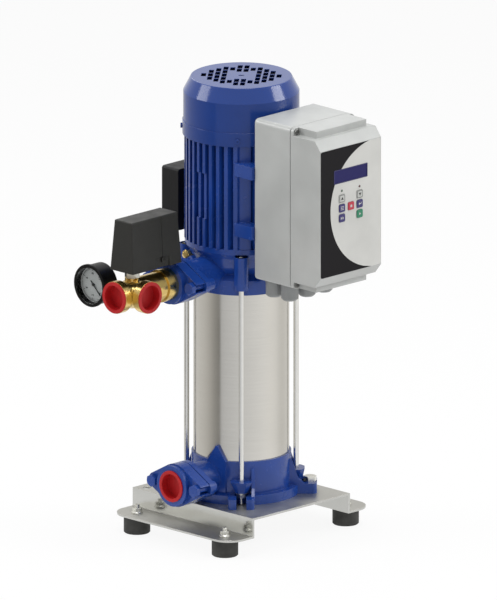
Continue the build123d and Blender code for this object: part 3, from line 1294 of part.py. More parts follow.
ROTOR_SHAFT_RADIUS = MOTOR_SHAFT_RADIUS + 5
with BuildPart() as motor_rotor:
    with BuildSketch(Plane.XY.offset(CORE_LOW)):
        Circle(STATOR_BORE - AIR_GAP)
        Circle(ROTOR_SHAFT_RADIUS + FIT, mode=Mode.SUBTRACT)
    extrude(amount=CORE_LENGTH)
motor_rotor.part.label = "motor_rotor"
export_step(motor_rotor.part, "parts/motor_rotor.step")

FAN_HUB_TOP = FAN_Z + FAN_BLADE_HEIGHT
with BuildPart() as motor_shaft:
    with BuildSketch(Plane.XY.offset(SHAFT_JOINT + FIT)):
        Circle(MOTOR_SHAFT_RADIUS)
    extrude(amount=FAN_HUB_TOP - SHAFT_JOINT)
    with BuildSketch(Plane.XY.offset(CORE_LOW)):
        Circle(ROTOR_SHAFT_RADIUS)
    extrude(amount=CORE_LENGTH)
motor_shaft.part.label = "motor_shaft"
export_step(motor_shaft.part, "parts/motor_shaft.step")

# ---------------------------------------------------------------- fan and its cover
FAN_HUB = 15.0
FAN_SHEET = 2.0
with BuildPart() as cooling_fan:
    with BuildSketch(Plane.XY.offset(FAN_Z)):
        Circle(FAN_RADIUS - 6)
    extrude(amount=FAN_SHEET)
    with BuildSketch(Plane.XY.offset(FAN_Z)):
        Circle(FAN_HUB)
    extrude(amount=FAN_BLADE_HEIGHT)
    with BuildSketch(Plane.XY.offset(FAN_Z)):
        with PolarLocations((FAN_HUB - 1 + FAN_RADIUS) / 2, FAN_BLADES):
            Rectangle(FAN_RADIUS - FAN_HUB + 1, FAN_SHEET)
    extrude(amount=FAN_BLADE_HEIGHT)
    with BuildSketch(Plane.XY.offset(FAN_Z)):
        Circle(MOTOR_SHAFT_RADIUS + FIT)
    extrude(amount=FAN_BLADE_HEIGHT, mode=Mode.SUBTRACT)
cooling_fan.part.label = "cooling_fan"
export_step(cooling_fan.part, "parts/cooling_fan.step")

GRILLE_COLUMNS = 12
GRILLE_ROWS = (
    (0,),
    (-1, 0, 1),
    (-1.5, -0.5, 0.5, 1.5),
    (-2, -1, 0, 1, 2),
    (-1.85, 1.85),
    (-2.5, -1.5, 1.5, 2.5),
)
with BuildPart() as fan_cover:
    with BuildSketch(Plane.XZ):
        with BuildLine():
            Polyline(
                (COVER_RADIUS - COVER_WALL, MOTOR_TOP),
                (COVER_BAND_RADIUS, MOTOR_TOP),
                (COVER_BAND_RADIUS, COVER_BAND_TOP),
                (COVER_RADIUS, COVER_BAND_TOP),
                (COVER_RADIUS, COVER_SHOULDER),
                (COVER_TOP_RADIUS, COVER_TOP),
                (0, COVER_TOP),
                (0, COVER_TOP - COVER_WALL),
                (COVER_TOP_RADIUS - COVER_WALL / 2, COVER_TOP - COVER_WALL),
                (COVER_RADIUS - COVER_WALL, COVER_SHOULDER - COVER_WALL / 2),
                close=True,
            )
        make_face()
    revolve(axis=Axis.Z)
    fillet(fan_cover.edges().filter_by(GeomType.CIRCLE).group_by(Axis.Z)[-1], 1.5)
    across = (cos(radians(GRILLE_ANGLE)), sin(radians(GRILLE_ANGLE)), 0)
    with BuildSketch(Plane(origin=(0, 0, COVER_TOP), x_dir=across, z_dir=(0, 0, 1))):
        for column in range(GRILLE_COLUMNS):
            rows = GRILLE_ROWS[min(column, GRILLE_COLUMNS - 1 - column)]
            column_x = (column - (GRILLE_COLUMNS - 1) / 2) * GRILLE_PITCH
            with Locations(*[(column_x, row * GRILLE_ROW) for row in rows]):
                Rectangle(GRILLE_SLOT_WIDTH, GRILLE_SLOT_LENGTH)
        SlotOverall(*GRILLE_MARK)
    extrude(amount=-2 * COVER_WALL, mode=Mode.SUBTRACT)
    for angle in COVER_SCREW_ANGLES:
        with BuildSketch(facing_out(angle, COVER_BAND_RADIUS, COVER_SCREW_Z)):
            Circle(SCREW_DIAMETER / 2 + SEAT)
        extrude(amount=-3 * COVER_WALL, mode=Mode.SUBTRACT)
fan_cover.part.label = "fan_cover"
export_step(fan_cover.part, "parts/fan_cover.step")

# ------------------------------------------------------------------ terminal box
TERMINAL_MIDDLE = (TERMINAL_LOW + TERMINAL_HIGH) / 2
TERMINAL_SIZE = (2 * TERMINAL_HALF_WIDTH, TERMINAL_HIGH - TERMINAL_LOW)
TERMINAL_SCREW_SPACING = (TERMINAL_SIZE[0] - 14, TERMINAL_SIZE[1] - 14)


def facing_back(y, z=TERMINAL_MIDDLE):
    """Upright plane whose normal points to the back, +Y."""
    return Plane(origin=(0, y, z), x_dir=(-1, 0, 0), z_dir=(0, 1, 0))


with BuildPart() as terminal_box:
    with BuildSketch(facing_back(TERMINAL_BACK)):
        RectangleRounded(*TERMINAL_SIZE, TERMINAL_EDGE)
    extrude(amount=TERMINAL_SPLIT - TERMINAL_BACK)
    with BuildSketch(facing_back(TERMINAL_BACK + TERMINAL_WALL)):
        Rectangle(TERMINAL_SIZE[0] - 6 * TERMINAL_WALL, TERMINAL_SIZE[1] - 2 * TERMINAL_WALL)
    extrude(amount=TERMINAL_FRONT, mode=Mode.SUBTRACT)
    with BuildSketch(facing_back(TERMINAL_SPLIT)):
        with GridLocations(*TERMINAL_SCREW_SPACING, 2, 2):
            Circle(SCREW_DIAMETER / 2 + FIT)
    extrude(amount=-SCREW_LENGTH, mode=Mode.SUBTRACT)
terminal_box.part.label = "terminal_box"
export_step(terminal_box.part, "parts/terminal_box.step")

with BuildPart() as terminal_box_cover:
    with BuildSketch(facing_back(TERMINAL_SPLIT)):
        RectangleRounded(*TERMINAL_SIZE, TERMINAL_EDGE)
    extrude(amount=TERMINAL_FRONT - TERMINAL_SPLIT)
    chamfer(terminal_box_cover.faces().sort_by(Axis.Y)[-1].edges(), TERMINAL_EDGE)
    with BuildSketch(facing_back(TERMINAL_SPLIT)):
        Rectangle(TERMINAL_SIZE[0] - 6 * TERMINAL_WALL, TERMINAL_SIZE[1] - 4 * TERMINAL_WALL)
    extrude(amount=TERMINAL_FRONT - TERMINAL_SPLIT - TERMINAL_WALL, mode=Mode.SUBTRACT)
    with BuildSketch(facing_back(TERMINAL_FRONT)):
        with GridLocations(*TERMINAL_SCREW_SPACING, 2, 2):
            Circle(SCREW_HEAD / 2 + SEAT)
    extrude(amount=TERMINAL_SPLIT - TERMINAL_FRONT + TERMINAL_WALL, mode=Mode.SUBTRACT)
    with BuildSketch(facing_back(TERMINAL_FRONT)):
        with GridLocations(*TERMINAL_SCREW_SPACING, 2, 2):
            Circle(SCREW_DIAMETER / 2 + SEAT)
    extrude(amount=TERMINAL_SPLIT - TERMINAL_FRONT, mode=Mode.SUBTRACT)
terminal_box_cover.part.label = "terminal_box_cover"
export_step(terminal_box_cover.part, "parts/terminal_box_cover.step")

# --------------------------------------------------------------------- controller
BOX_MIDDLE = (BOX_LOW + BOX_HIGH) / 2
BOX_SIZE = (2 * BOX_HALF_WIDTH, BOX_HIGH - BOX_LOW)
LID_BACK = BOX_SPLIT - SEAL_STRIP
LID_HEIGHT = BOX_SIZE[1] - 2 * LID_INSET
LID_FACE_HEIGHT = LID_HEIGHT - 2 * LID_CHAMFER_RISE
LID_SCREW_SPACING = (2 * LID_SCREW_X, BOX_SIZE[1] - LID_INSET)


def controller_plane(y):
    """Plane facing the panel side, centred on the controller."""
    return facing_panel(y, 0, BOX_MIDDLE)


with BuildPart() as controller_box:
    with BuildSketch(controller_plane(BOX_REAR)):
        RectangleRounded(*BOX_SIZE, BOX_EDGE)
    extrude(amount=BOX_REAR - BOX_SPLIT)
    fillet(controller_box.faces().sort_by(Axis.Y)[-1].edges(), BOX_EDGE / 2)
    with BuildSketch(controller_plane(BOX_REAR - BOX_WALL)):
        RectangleRounded(BOX_SIZE[0] - 2 * BOX_WALL, BOX_SIZE[1] - 2 * BOX_WALL, BOX_EDGE - BOX_WALL)
    extrude(amount=BOX_REAR - BOX_SPLIT, mode=Mode.SUBTRACT)
    with BuildSketch(controller_plane(BOX_SPLIT + SCREW_LENGTH + BOX_WALL)):
        with GridLocations(*LID_SCREW_SPACING, 2, 2):
            Circle(SCREW_HEAD / 2 + 1)
    extrude(amount=SCREW_LENGTH + BOX_WALL)
    with BuildSketch(controller_plane(BOX_SPLIT)):
        with GridLocations(*LID_SCREW_SPACING, 2, 2):
            Circle(SCREW_DIAMETER / 2 + FIT)
    extrude(amount=-SCREW_LENGTH, mode=Mode.SUBTRACT)
    for level in CONTROLLER_LUG_LEVELS:
        with BuildSketch(facing_panel(BOX_REAR, 0, level)):
            with GridLocations(2 * CONTROLLER_LUG_X, 0, 2, 1):
                Circle(SCREW_DIAMETER / 2 + FIT)
        extrude(amount=2 * BOX_WALL, mode=Mode.SUBTRACT)
    with BuildSketch(Plane.XY.offset(BOX_LOW)):
        with Locations(*GLAND_PLACES):
            Circle(GLAND_RADIUS - 4 + FIT)
    extrude(amount=BOX_WALL, mode=Mode.SUBTRACT)
controller_box.part.label = "controller_box"
export_step(controller_box.part, "parts/controller_box.step")

with BuildPart() as lid_seal:
    with BuildSketch(controller_plane(BOX_SPLIT)):
        RectangleRounded(BOX_SIZE[0] - 1.5, BOX_SIZE[1] - 1.5, BOX_EDGE)
        RectangleRounded(BOX_SIZE[0] - 2 * BOX_WALL, BOX_SIZE[1] - 2 * BOX_WALL, BOX_EDGE - BOX_WALL,
                         mode=Mode.SUBTRACT)
    extrude(amount=SEAL_STRIP)
lid_seal.part.label = "lid_seal"
export_step(lid_seal.part, "parts/lid_seal.step")

with BuildPart() as controller_lid:
    with BuildSketch(controller_plane(LID_BACK)):
        RectangleRounded(*BOX_SIZE, BOX_EDGE)
    extrude(amount=LID_LEDGE)
    with BuildSketch(controller_plane(LID_BACK)):
        Rectangle(2 * LID_BLOCK_HALF, BOX_SIZE[1])
    extrude(amount=LID_BACK - LID_BLOCK_FRONT)
    with BuildSketch(Plane.YZ.offset(-BOX_HALF_WIDTH)):
        with BuildLine():
            Polyline(
                (LID_BACK, BOX_MIDDLE - LID_HEIGHT / 2),
                (LID_FRONT + LID_CHAMFER_RUN, BOX_MIDDLE - LID_HEIGHT / 2),
                (LID_FRONT, BOX_MIDDLE - LID_FACE_HEIGHT / 2),
                (LID_FRONT, BOX_MIDDLE + LID_FACE_HEIGHT / 2),
                (LID_FRONT + LID_CHAMFER_RUN, BOX_MIDDLE + LID_HEIGHT / 2),
                (LID_BACK, BOX_MIDDLE + LID_HEIGHT / 2),
                close=True,
            )
        make_face()
    extrude(amount=2 * BOX_HALF_WIDTH)
    # shell from behind, then the window recess, key holes and screw holes
    with BuildSketch(controller_plane(LID_BACK)):
        RectangleRounded(BOX_SIZE[0] - 2 * BOX_WALL, LID_HEIGHT - 2 * BOX_WALL, 1)
    extrude(amount=LID_BACK - LID_FRONT - LID_CHAMFER_RUN, mode=Mode.SUBTRACT)
    with BuildSketch(controller_plane(LID_FRONT + LID_CHAMFER_RUN)):
        Rectangle(BOX_SIZE[0] - 2 * BOX_WALL, LID_FACE_HEIGHT - 2 * BOX_WALL)
    extrude(amount=LID_CHAMFER_RUN - BOX_WALL, mode=Mode.SUBTRACT)
    with BuildSketch(facing_panel(LID_FRONT, 0, WINDOW_Z)):
        Rectangle(WINDOW_WIDTH + 2 * FIT, WINDOW_HEIGHT + 2 * FIT)
    extrude(amount=-WINDOW_THICKNESS, mode=Mode.SUBTRACT)
    for key_x, key_z in KEY_PLACES.values():
        with BuildSketch(facing_panel(LID_FRONT, key_x, key_z)):
            RectangleRounded(KEY_SIZE + 2 * SEAT, KEY_SIZE + 2 * SEAT, KEY_CORNER)
        extrude(amount=-2 * BOX_WALL, mode=Mode.SUBTRACT)
    with BuildSketch(controller_plane(LID_BACK)):
        with GridLocations(*LID_SCREW_SPACING, 2, 2):
            Circle(SCREW_DIAMETER / 2 + SEAT)
    extrude(amount=LID_LEDGE, mode=Mode.SUBTRACT)
controller_lid.part.label = "controller_lid"
export_step(controller_lid.part, "parts/controller_lid.step")

with BuildPart() as display_window:
    with BuildSketch(facing_panel(LID_FRONT, 0, WINDOW_Z)):
        Rectangle(WINDOW_WIDTH, WINDOW_HEIGHT)
    extrude(amount=-WINDOW_THICKNESS)
display_window.part.label = "display_window"
export_step(display_window.part, "parts/display_window.step")

KEY_FLANGE = 1.0
KEY_BACK = LID_FRONT + BOX_WALL + SEAT + KEY_FLANGE
for key_name, (key_x, key_z) in KEY_PLACES.items():
    with BuildPart() as key:
        with BuildSketch(facing_panel(KEY_BACK, key_x, key_z)):
            Rectangle(KEY_SIZE + 2 * KEY_FLANGE, KEY_SIZE + 2 * KEY_FLANGE)
        extrude(amount=KEY_FLANGE)
        with BuildSketch(facing_panel(KEY_BACK, key_x, key_z)):
            RectangleRounded(KEY_SIZE, KEY_SIZE, KEY_CORNER)
        extrude(amount=KEY_BACK - LID_FRONT + KEY_STAND_OUT)
    key.part.label = key_name
    export_step(key.part, f"parts/{key_name}.step")

BOARD_FRONT = KEY_BACK + 5
BOARD_SIZE = (BOX_SIZE[0] - 6 * BOX_WALL, LID_FACE_HEIGHT - 8 * BOX_WALL)
POST_SPACING = (BOARD_SIZE[0] - 8, BOARD_SIZE[1] - 8)
with BuildPart() as circuit_board:
    with BuildSketch(controller_plane(BOARD_FRONT + BOARD_THICKNESS)):
        Rectangle(*BOARD_SIZE)
    extrude(amount=BOARD_THICKNESS)
    for key_x, key_z in KEY_PLACES.values():
        with BuildSketch(facing_panel(BOARD_FRONT, key_x, key_z)):
            Rectangle(KEY_SIZE / 2, KEY_SIZE / 2)
        extrude(amount=BOARD_FRONT - KEY_BACK - KEY_TRAVEL - SEAT)
    with BuildSketch(controller_plane(BOARD_FRONT)):
        with GridLocations(*POST_SPACING, 2, 2):
            Circle(SCREW_DIAMETER)
    extrude(amount=BOARD_FRONT - LID_FRONT - BOX_WALL)
circuit_board.part.label = "circuit_board"
export_step(circuit_board.part, "parts/circuit_board.step")

with BuildPart() as cable_glands:
    with BuildSketch(Plane.XY.offset(BOX_LOW)):
        with Locations(*GLAND_PLACES):
            Circle(GLAND_RADIUS - 4)
    extrude(amount=BOX_WALL + 4)
    with BuildSketch(Plane.XY.offset(BOX_LOW)):
        with Locations(*GLAND_PLACES):
            RegularPolygon(GLAND_RADIUS, 6)
    extrude(amount=-6)
    with BuildSketch(Plane.XY.offset(BOX_LOW)):
        with Locations(*GLAND_PLACES):
            Circle(GLAND_RADIUS - 1)
    extrude(amount=-GLAND_LENGTH)
    chamfer(cable_glands.faces().filter_by(Axis.Z).group_by(Axis.Z)[0].edges(), 3)
    with BuildSketch(Plane.XY.offset(BOX_LOW - GLAND_LENGTH)):
        with Locations(*GLAND_PLACES):
            Circle(GLAND_BORE)
    extrude(amount=GLAND_LENGTH / 2, mode=Mode.SUBTRACT)
cable_glands.part.label = "cable_glands"
export_step(cable_glands.part, "parts/cable_glands.step")

# -------------------------------------------------------------------- small screws
with BuildPart() as cover_screws:
    for angle in COVER_SCREW_ANGLES:
        cover_screw(facing_out(angle, COVER_BAND_RADIUS, COVER_SCREW_Z))
    cover_screw(facing_panel(SWITCH_BOSS_Y, SWITCH_NOTCH_X, SWITCH_SCREW_Z))
    for side_x in (-1, 1):
        for side_z in (-1, 1):
            screw_x = side_x * LID_SCREW_SPACING[0] / 2
            screw_z = BOX_MIDDLE + side_z * LID_SCREW_SPACING[1] / 2
            cover_screw(facing_panel(LID_BACK - LID_LEDGE, screw_x, screw_z))
            back_x = side_x * TERMINAL_SCREW_SPACING[0] / 2
            back_z = TERMINAL_MIDDLE + side_z * TERMINAL_SCREW_SPACING[1] / 2
            cover_screw(Plane((back_x, TERMINAL_SPLIT + TERMINAL_WALL, back_z), (-1, 0, 0), (0, 1, 0)))
cover_screws.part.label = "cover_screws"
export_step(cover_screws.part, "parts/cover_screws.step")

with BuildPart() as controller_screws:
    for side_x in (-1, 1):
        for level in CONTROLLER_LUG_LEVELS:
            cover_screw(facing_panel(BOX_REAR - BOX_WALL, side_x * CONTROLLER_LUG_X, level))
controller_screws.part.label = "controller_screws"
export_step(controller_screws.part, "parts/controller_screws.step")
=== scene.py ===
import math

import bmesh
import bpy
from mathutils import Matrix, Vector


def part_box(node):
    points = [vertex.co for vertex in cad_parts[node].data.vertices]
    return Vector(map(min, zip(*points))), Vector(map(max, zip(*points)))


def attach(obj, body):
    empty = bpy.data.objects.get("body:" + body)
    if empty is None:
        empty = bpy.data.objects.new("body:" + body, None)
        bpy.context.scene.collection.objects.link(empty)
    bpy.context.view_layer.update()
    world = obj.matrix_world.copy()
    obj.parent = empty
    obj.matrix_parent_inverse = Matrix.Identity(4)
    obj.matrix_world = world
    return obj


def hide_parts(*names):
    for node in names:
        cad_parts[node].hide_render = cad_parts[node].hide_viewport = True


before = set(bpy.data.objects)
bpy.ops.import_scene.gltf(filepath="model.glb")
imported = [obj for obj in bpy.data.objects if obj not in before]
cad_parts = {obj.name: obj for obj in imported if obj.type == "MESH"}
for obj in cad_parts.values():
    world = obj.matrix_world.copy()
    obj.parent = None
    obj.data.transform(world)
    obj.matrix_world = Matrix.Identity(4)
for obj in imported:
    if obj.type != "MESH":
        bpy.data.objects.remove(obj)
scene = bpy.context.scene
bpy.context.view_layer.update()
MM = 0.001
SHARP_ANGLE = math.radians(28)


# ------------------------------------------------------------------ camera
# Orthographic view of the photograph: from the port and panel corner, 15 degrees up.
AZIMUTH = math.radians(-45.0)
ELEVATION = math.radians(15.25)
VIEW_CENTRE = Vector((0.0711, 0.0559, 0.3292))
VIEW_HEIGHT = 0.9
CAMERA_DISTANCE = 3.0

camera_data = bpy.data.cameras.new("camera")
camera_data.type = "ORTHO"
camera_data.ortho_scale = VIEW_HEIGHT
camera_data.clip_end = 20.0
camera = bpy.data.objects.new("camera", camera_data)
scene.collection.objects.link(camera)
camera_back = Vector((
    math.sin(AZIMUTH) * math.cos(ELEVATION),
    -math.cos(AZIMUTH) * math.cos(ELEVATION),
    math.sin(ELEVATION),
))
camera.location = VIEW_CENTRE + camera_back * CAMERA_DISTANCE
camera.rotation_mode = "QUATERNION"
camera.rotation_quaternion = (-camera_back).to_track_quat("-Z", "Y")
scene.camera = camera
scene.view_settings.view_transform = "Standard"


# --------------------------------------------------------------- materials
def linear(red, green, blue):
    """A screen colour from 0 to 255 as the linear colour that a shader takes."""
    steps = []
    for value in (red, green, blue):
        v = value / 255
        steps.append(v / 12.92 if v <= 0.04045 else ((v + 0.055) / 1.055) ** 2.4)
    return (*steps, 1.0)


EDGE_SAMPLES = 6
COAT_ROUGHNESS = 0.12


class Nodes:
    """Short calls for the nodes of one material."""

    def __init__(self, name):
        self.material = bpy.data.materials.new(name)
        self.material.use_nodes = True
        self.tree = self.material.node_tree
        self.shader = self.tree.nodes["Principled BSDF"]
        self.coordinate = self.tree.nodes.new("ShaderNodeTexCoord")
        self.place = self.coordinate.outputs["Object"]

    def add(self, kind, **settings):
        node = self.tree.nodes.new(kind)
        for key, value in settings.items():
            setattr(node, key, value)
        return node

    def link(self, source, target):
        self.tree.links.new(source, target)

    def stretched(self, x, y, z):
        mapping = self.add("ShaderNodeMapping")
        mapping.inputs["Scale"].default_value = (x, y, z)
        self.link(self.place, mapping.inputs["Vector"])
        return mapping.outputs["Vector"]

    def noise(self, scale, detail=2.0, vector=None):
        node = self.add("ShaderNodeTexNoise")
        node.inputs["Scale"].default_value = scale
        node.inputs["Detail"].default_value = detail
        self.link(vector or self.place, node.inputs["Vector"])
        return node.outputs["Fac"]

    def ranged(self, value, low, high, from_low=0.3, from_high=0.7):
        node = self.add("ShaderNodeMapRange")
        node.inputs["From Min"].default_value = from_low
        node.inputs["From Max"].default_value = from_high
        node.inputs["To Min"].default_value = low
        node.inputs["To Max"].default_value = high
        self.link(value, node.inputs["Value"])
        return node.outputs["Result"]

    def share(self, mask, most):
        """A mask weakened to reach no higher than this."""
        return self.ranged(mask, 0.0, most, from_low=0.0, from_high=1.0)

    def mixed(self, factor, first, second):
        node = self.add("ShaderNodeMix", data_type="RGBA")
        self.link(factor, node.inputs["Factor"])
        for value, socket in ((first, node.inputs["A"]), (second, node.inputs["B"])):
            if hasattr(value, "is_output"):
                self.link(value, socket)
            else:
                socket.default_value = value
        return node.outputs["Result"]

    def hairlines(self, lines):
        """A faint mask from stretched noise."""
        return self.ranged(lines, 0.0, 0.25, from_low=0.2, from_high=0.8)

    def multiplied(self, first, second):
        node = self.add("ShaderNodeMath", operation="MULTIPLY")
        self.link(first, node.inputs[0])
        self.link(second, node.inputs[1])
        return node.outputs["Value"]

    def bump(self, height, distance, strength=1.0, normal=None):
        node = self.add("ShaderNodeBump")
        node.inputs["Distance"].default_value = distance
        node.inputs["Strength"].default_value = strength
        self.link(height, node.inputs["Height"])
        if normal is not None:
            self.link(normal, node.inputs["Normal"])
        return node.outputs["Normal"]

    def edges(self, radius):
        """The rounded normal at corners, and a mask that is 1 on them."""
        bevel = self.add("ShaderNodeBevel", samples=EDGE_SAMPLES)
        bevel.inputs["Radius"].default_value = radius
        geometry = self.add("ShaderNodeNewGeometry")
        dot = self.add("ShaderNodeVectorMath", operation="DOT_PRODUCT")
        self.link(bevel.outputs["Normal"], dot.inputs[0])
        self.link(geometry.outputs["Normal"], dot.inputs[1])
        mask = self.ranged(dot.outputs["Value"], 1.0, 0.0, from_low=0.8, from_high=0.99)
        return bevel.outputs["Normal"], mask


def scaled(colour, factor):
    """A colour made darker or lighter."""
    return (*(min(1.0, c * factor) for c in colour[:3]), 1.0)


def finish_material(n, colour, roughness, metallic=0.0, coat=0.0, ior=1.5, specular=0.5):
    """Set the shader's own values, and link or set its colour and roughness."""
    n.shader.inputs["Metallic"].default_value = metallic
    n.shader.inputs["IOR"].default_value = ior
    n.shader.inputs["Specular IOR Level"].default_value = specular
    n.shader.inputs["Coat Weight"].default_value = coat
    n.shader.inputs["Coat Roughness"].default_value = COAT_ROUGHNESS
    for value, socket in (
        (colour, n.shader.inputs["Base Color"]),
        (roughness, n.shader.inputs["Roughness"]),
    ):
        if hasattr(value, "is_output"):
            n.link(value, socket)
        else:
            socket.default_value = value
    return n.material


def cast_paint(name, colour):
    """Gloss paint over sand-cast iron: orange peel, casting grain, thin paint on corners."""
    n = Nodes(name)
    rounded, edge = n.edges(radius=0.0009)
    patches = n.ranged(n.noise(14.0, detail=3.0), 0.0, 1.0)
    body = n.mixed(patches, scaled(colour, 0.88), scaled(colour, 1.12))
    worn = n.ranged(n.noise(160.0, detail=3.0), 0.0, 1.0, from_low=0.5, from_high=0.75)
    body = n.mixed(n.multiplied(edge, worn), body, scaled(colour, 1.9))
    grain = n.bump(n.noise(520.0, detail=3.0), distance=0.00018, strength=0.35, normal=rounded)
    peel = n.bump(n.noise(90.0, detail=1.0), distance=0.0006, strength=0.25, normal=grain)
    n.link(peel, n.shader.inputs["Normal"])
    return finish_material(n, body, n.ranged(n.noise(60.0), 0.18, 0.3), coat=0.3, specular=0.35)


def sheet_paint(name, colour):
    """Smooth paint over pressed sheet: low orange peel, and corners lightened as a painted
    highlight.
    """
    n = Nodes(name)
    rounded, edge = n.edges(radius=0.0008)
    patches = n.ranged(n.noise(9.0, detail=3.0), 0.0, 1.0)
    body = n.mixed(patches, scaled(colour, 0.93), scaled(colour, 1.07))
    # Painted highlight: the corners are lightened.
    body = n.mixed(n.share(edge, 0.45), body, scaled(colour, 1.7))
    peel = n.bump(n.noise(240.0, detail=1.0), distance=0.0002, strength=0.3, normal=rounded)
    n.link(peel, n.shader.inputs["Normal"])
    return finish_material(n, body, n.ranged(n.noise(40.0), 0.1, 0.18), coat=0.2, specular=0.3)


def turned_metal(name, colour, roughness=0.28, radius=0.0005, pitch=1400.0):
    """Bright machined metal: fine tool marks, handling smears, corners lightened as a painted
    highlight.
    """
    n = Nodes(name)
    rounded, edge = n.edges(radius)
    patches = n.ranged(n.noise(45.0, detail=4.0), 0.0, 1.0)
    body = n.mixed(patches, scaled(colour, 0.86), colour)
    # Painted highlight: the corners are lightened.
    body = n.mixed(n.share(edge, 0.6), body, scaled(colour, 1.25))
    marks = n.bump(n.noise(pitch, detail=1.0), distance=0.00004, strength=0.2, normal=rounded)
    n.link(marks, n.shader.inputs["Normal"])
    rough = n.ranged(n.noise(120.0, detail=3.0), roughness * 0.75, roughness * 1.3)
    return finish_material(n, body, rough, metallic=1.0)


def brushed_steel(name, colour, along, roughness, smear=0.12):
    """Rolled or polished stainless sheet: hairlines along one direction, soft smears."""
    n = Nodes(name)
    rounded = n.edges(radius=0.0006)[0]
    lines = n.noise(1.0, detail=3.0, vector=n.stretched(*along))
    smears = n.noise(16.0, detail=4.0)
    body = n.mixed(n.ranged(smears, 0.0, 1.0), scaled(colour, 1.0 - smear), colour)
    body = n.mixed(n.hairlines(lines), body, scaled(colour, 0.72))
    scratches = n.bump(lines, distance=0.00004, strength=0.25, normal=rounded)
    n.link(scratches, n.shader.inputs["Normal"])
    rough = n.ranged(smears, roughness * 0.8, roughness * 1.35)
    return finish_material(n, body, rough, metallic=1.0)


def rolled_sheet(name, colour):
    """Stainless sheet: dull rolled top, brighter folded webs, bright cut edges."""
    n = Nodes(name)
    rounded, edge = n.edges(radius=0.0008)
    lines = n.noise(1.0, detail=3.0, vector=n.stretched(30.0, 900.0, 30.0))
    smears = n.noise(22.0, detail=4.0)
    body = n.mixed(n.ranged(smears, 0.0, 1.0), scaled(colour, 0.9), colour)
    body = n.mixed(n.hairlines(lines), body, scaled(colour, 0.75))
    body = n.mixed(n.share(edge, 0.7), body, scaled(colour, 1.5))
    scratches = n.bump(lines, distance=0.00004, strength=0.25, normal=rounded)
    n.link(scratches, n.shader.inputs["Normal"])
    normal = n.add("ShaderNodeSeparateXYZ")
    n.link(n.coordinate.outputs["Normal"], normal.inputs["Vector"])
    level = n.ranged(normal.outputs["Z"], 0.17, 0.4, from_low=0.2, from_high=0.9)
    rough = n.multiplied(level, n.ranged(smears, 0.85, 1.2))
    return finish_material(n, body, rough, metallic=1.0)


def moulded(
    name, colour, roughness, texture=700.0, depth=0.00012, radius=0.0008, coat=0.0, specular=0.5
):
    """Moulded plastic: fine spark texture, slight sink and tone patches, corners lightened as a
    painted highlight.
    """
    n = Nodes(name)
    rounded, edge = n.edges(radius)
    patches = n.ranged(n.noise(18.0, detail=3.0), 0.0, 1.0)
    body = n.mixed(patches, scaled(colour, 0.94), scaled(colour, 1.05))
    # Painted highlight: the corners are lightened.
    body = n.mixed(n.share(edge, 0.4), body, scaled(colour, 1.6))
    sparks = n.bump(n.noise(texture), distance=depth, strength=0.3, normal=rounded)
    n.link(sparks, n.shader.inputs["Normal"])
    rough = n.ranged(n.noise(50.0, detail=3.0), roughness * 0.85, roughness * 1.15)
    return finish_material(n, body, rough, coat=coat, specular=specular)


def rubber(name, colour):
    """Matt moulded rubber: bloom in patches, pale rubbed edges, small pits."""
    n = Nodes(name)
    rounded, edge = n.edges(radius=0.0012)
    bloom = n.ranged(n.noise(35.0, detail=4.0), 0.0, 1.0, from_low=0.35, from_high=0.75)
    body = n.mixed(bloom, colour, scaled(colour, 1.7))
    body = n.mixed(n.share(edge, 0.5), body, scaled(colour, 2.2))
    pits = n.bump(n.noise(900.0, detail=3.0), distance=0.0002, strength=0.45, normal=rounded)
    n.link(pits, n.shader.inputs["Normal"])
    return finish_material(n, body, n.ranged(n.noise(80.0), 0.62, 0.85))


def clear_glass(name):
    """Thin clear pane: almost no bending of light, a faint wave in the surface."""
    n = Nodes(name)
    n.shader.inputs["Transmission Weight"].default_value = 1.0
    n.link(n.bump(n.noise(30.0), distance=0.00002, strength=0.2), n.shader.inputs["Normal"])
    tint = (0.97, 0.98, 0.98, 1.0)
    return finish_material(n, tint, n.ranged(n.noise(20.0), 0.02, 0.05), ior=1.1)


def wound_copper(name):
    """Enamelled winding: close turns of wire round the ring."""
    n = Nodes(name)
    wires = n.noise(60.0, detail=1.0, vector=n.stretched(8.0, 8.0, 60.0))
    body = n.mixed(n.ranged(wires, 0.0, 1.0), linear(96, 44, 24), linear(168, 92, 52))
    n.link(n.bump(wires, distance=0.0006, strength=0.5), n.shader.inputs["Normal"])
    return finish_material(n, body, n.ranged(wires, 0.3, 0.45), metallic=0.6)


blue_cast = cast_paint("blue_cast_paint", linear(27, 66, 148))
blue_sheet = sheet_paint("blue_sheet_paint", linear(23, 58, 132))
base_steel = rolled_sheet("base_stainless", linear(200, 200, 196))
sleeve_steel = brushed_steel(
    "sleeve_stainless", linear(222, 220, 215), (14.0, 14.0, 900.0), 0.13, smear=0.05
)
stage_steel = brushed_steel("pressed_stainless", linear(186, 186, 184), (40.0, 40.0, 700.0), 0.3)
rod_steel = brushed_steel("rod_steel", linear(238, 238, 236), (50.0, 50.0, 50.0), 0.22, smear=0.04)
zinc = turned_metal("zinc_plated_steel", linear(226, 226, 220), 0.3)
screw_steel = turned_metal("screw_steel", linear(140, 140, 138), 0.35)
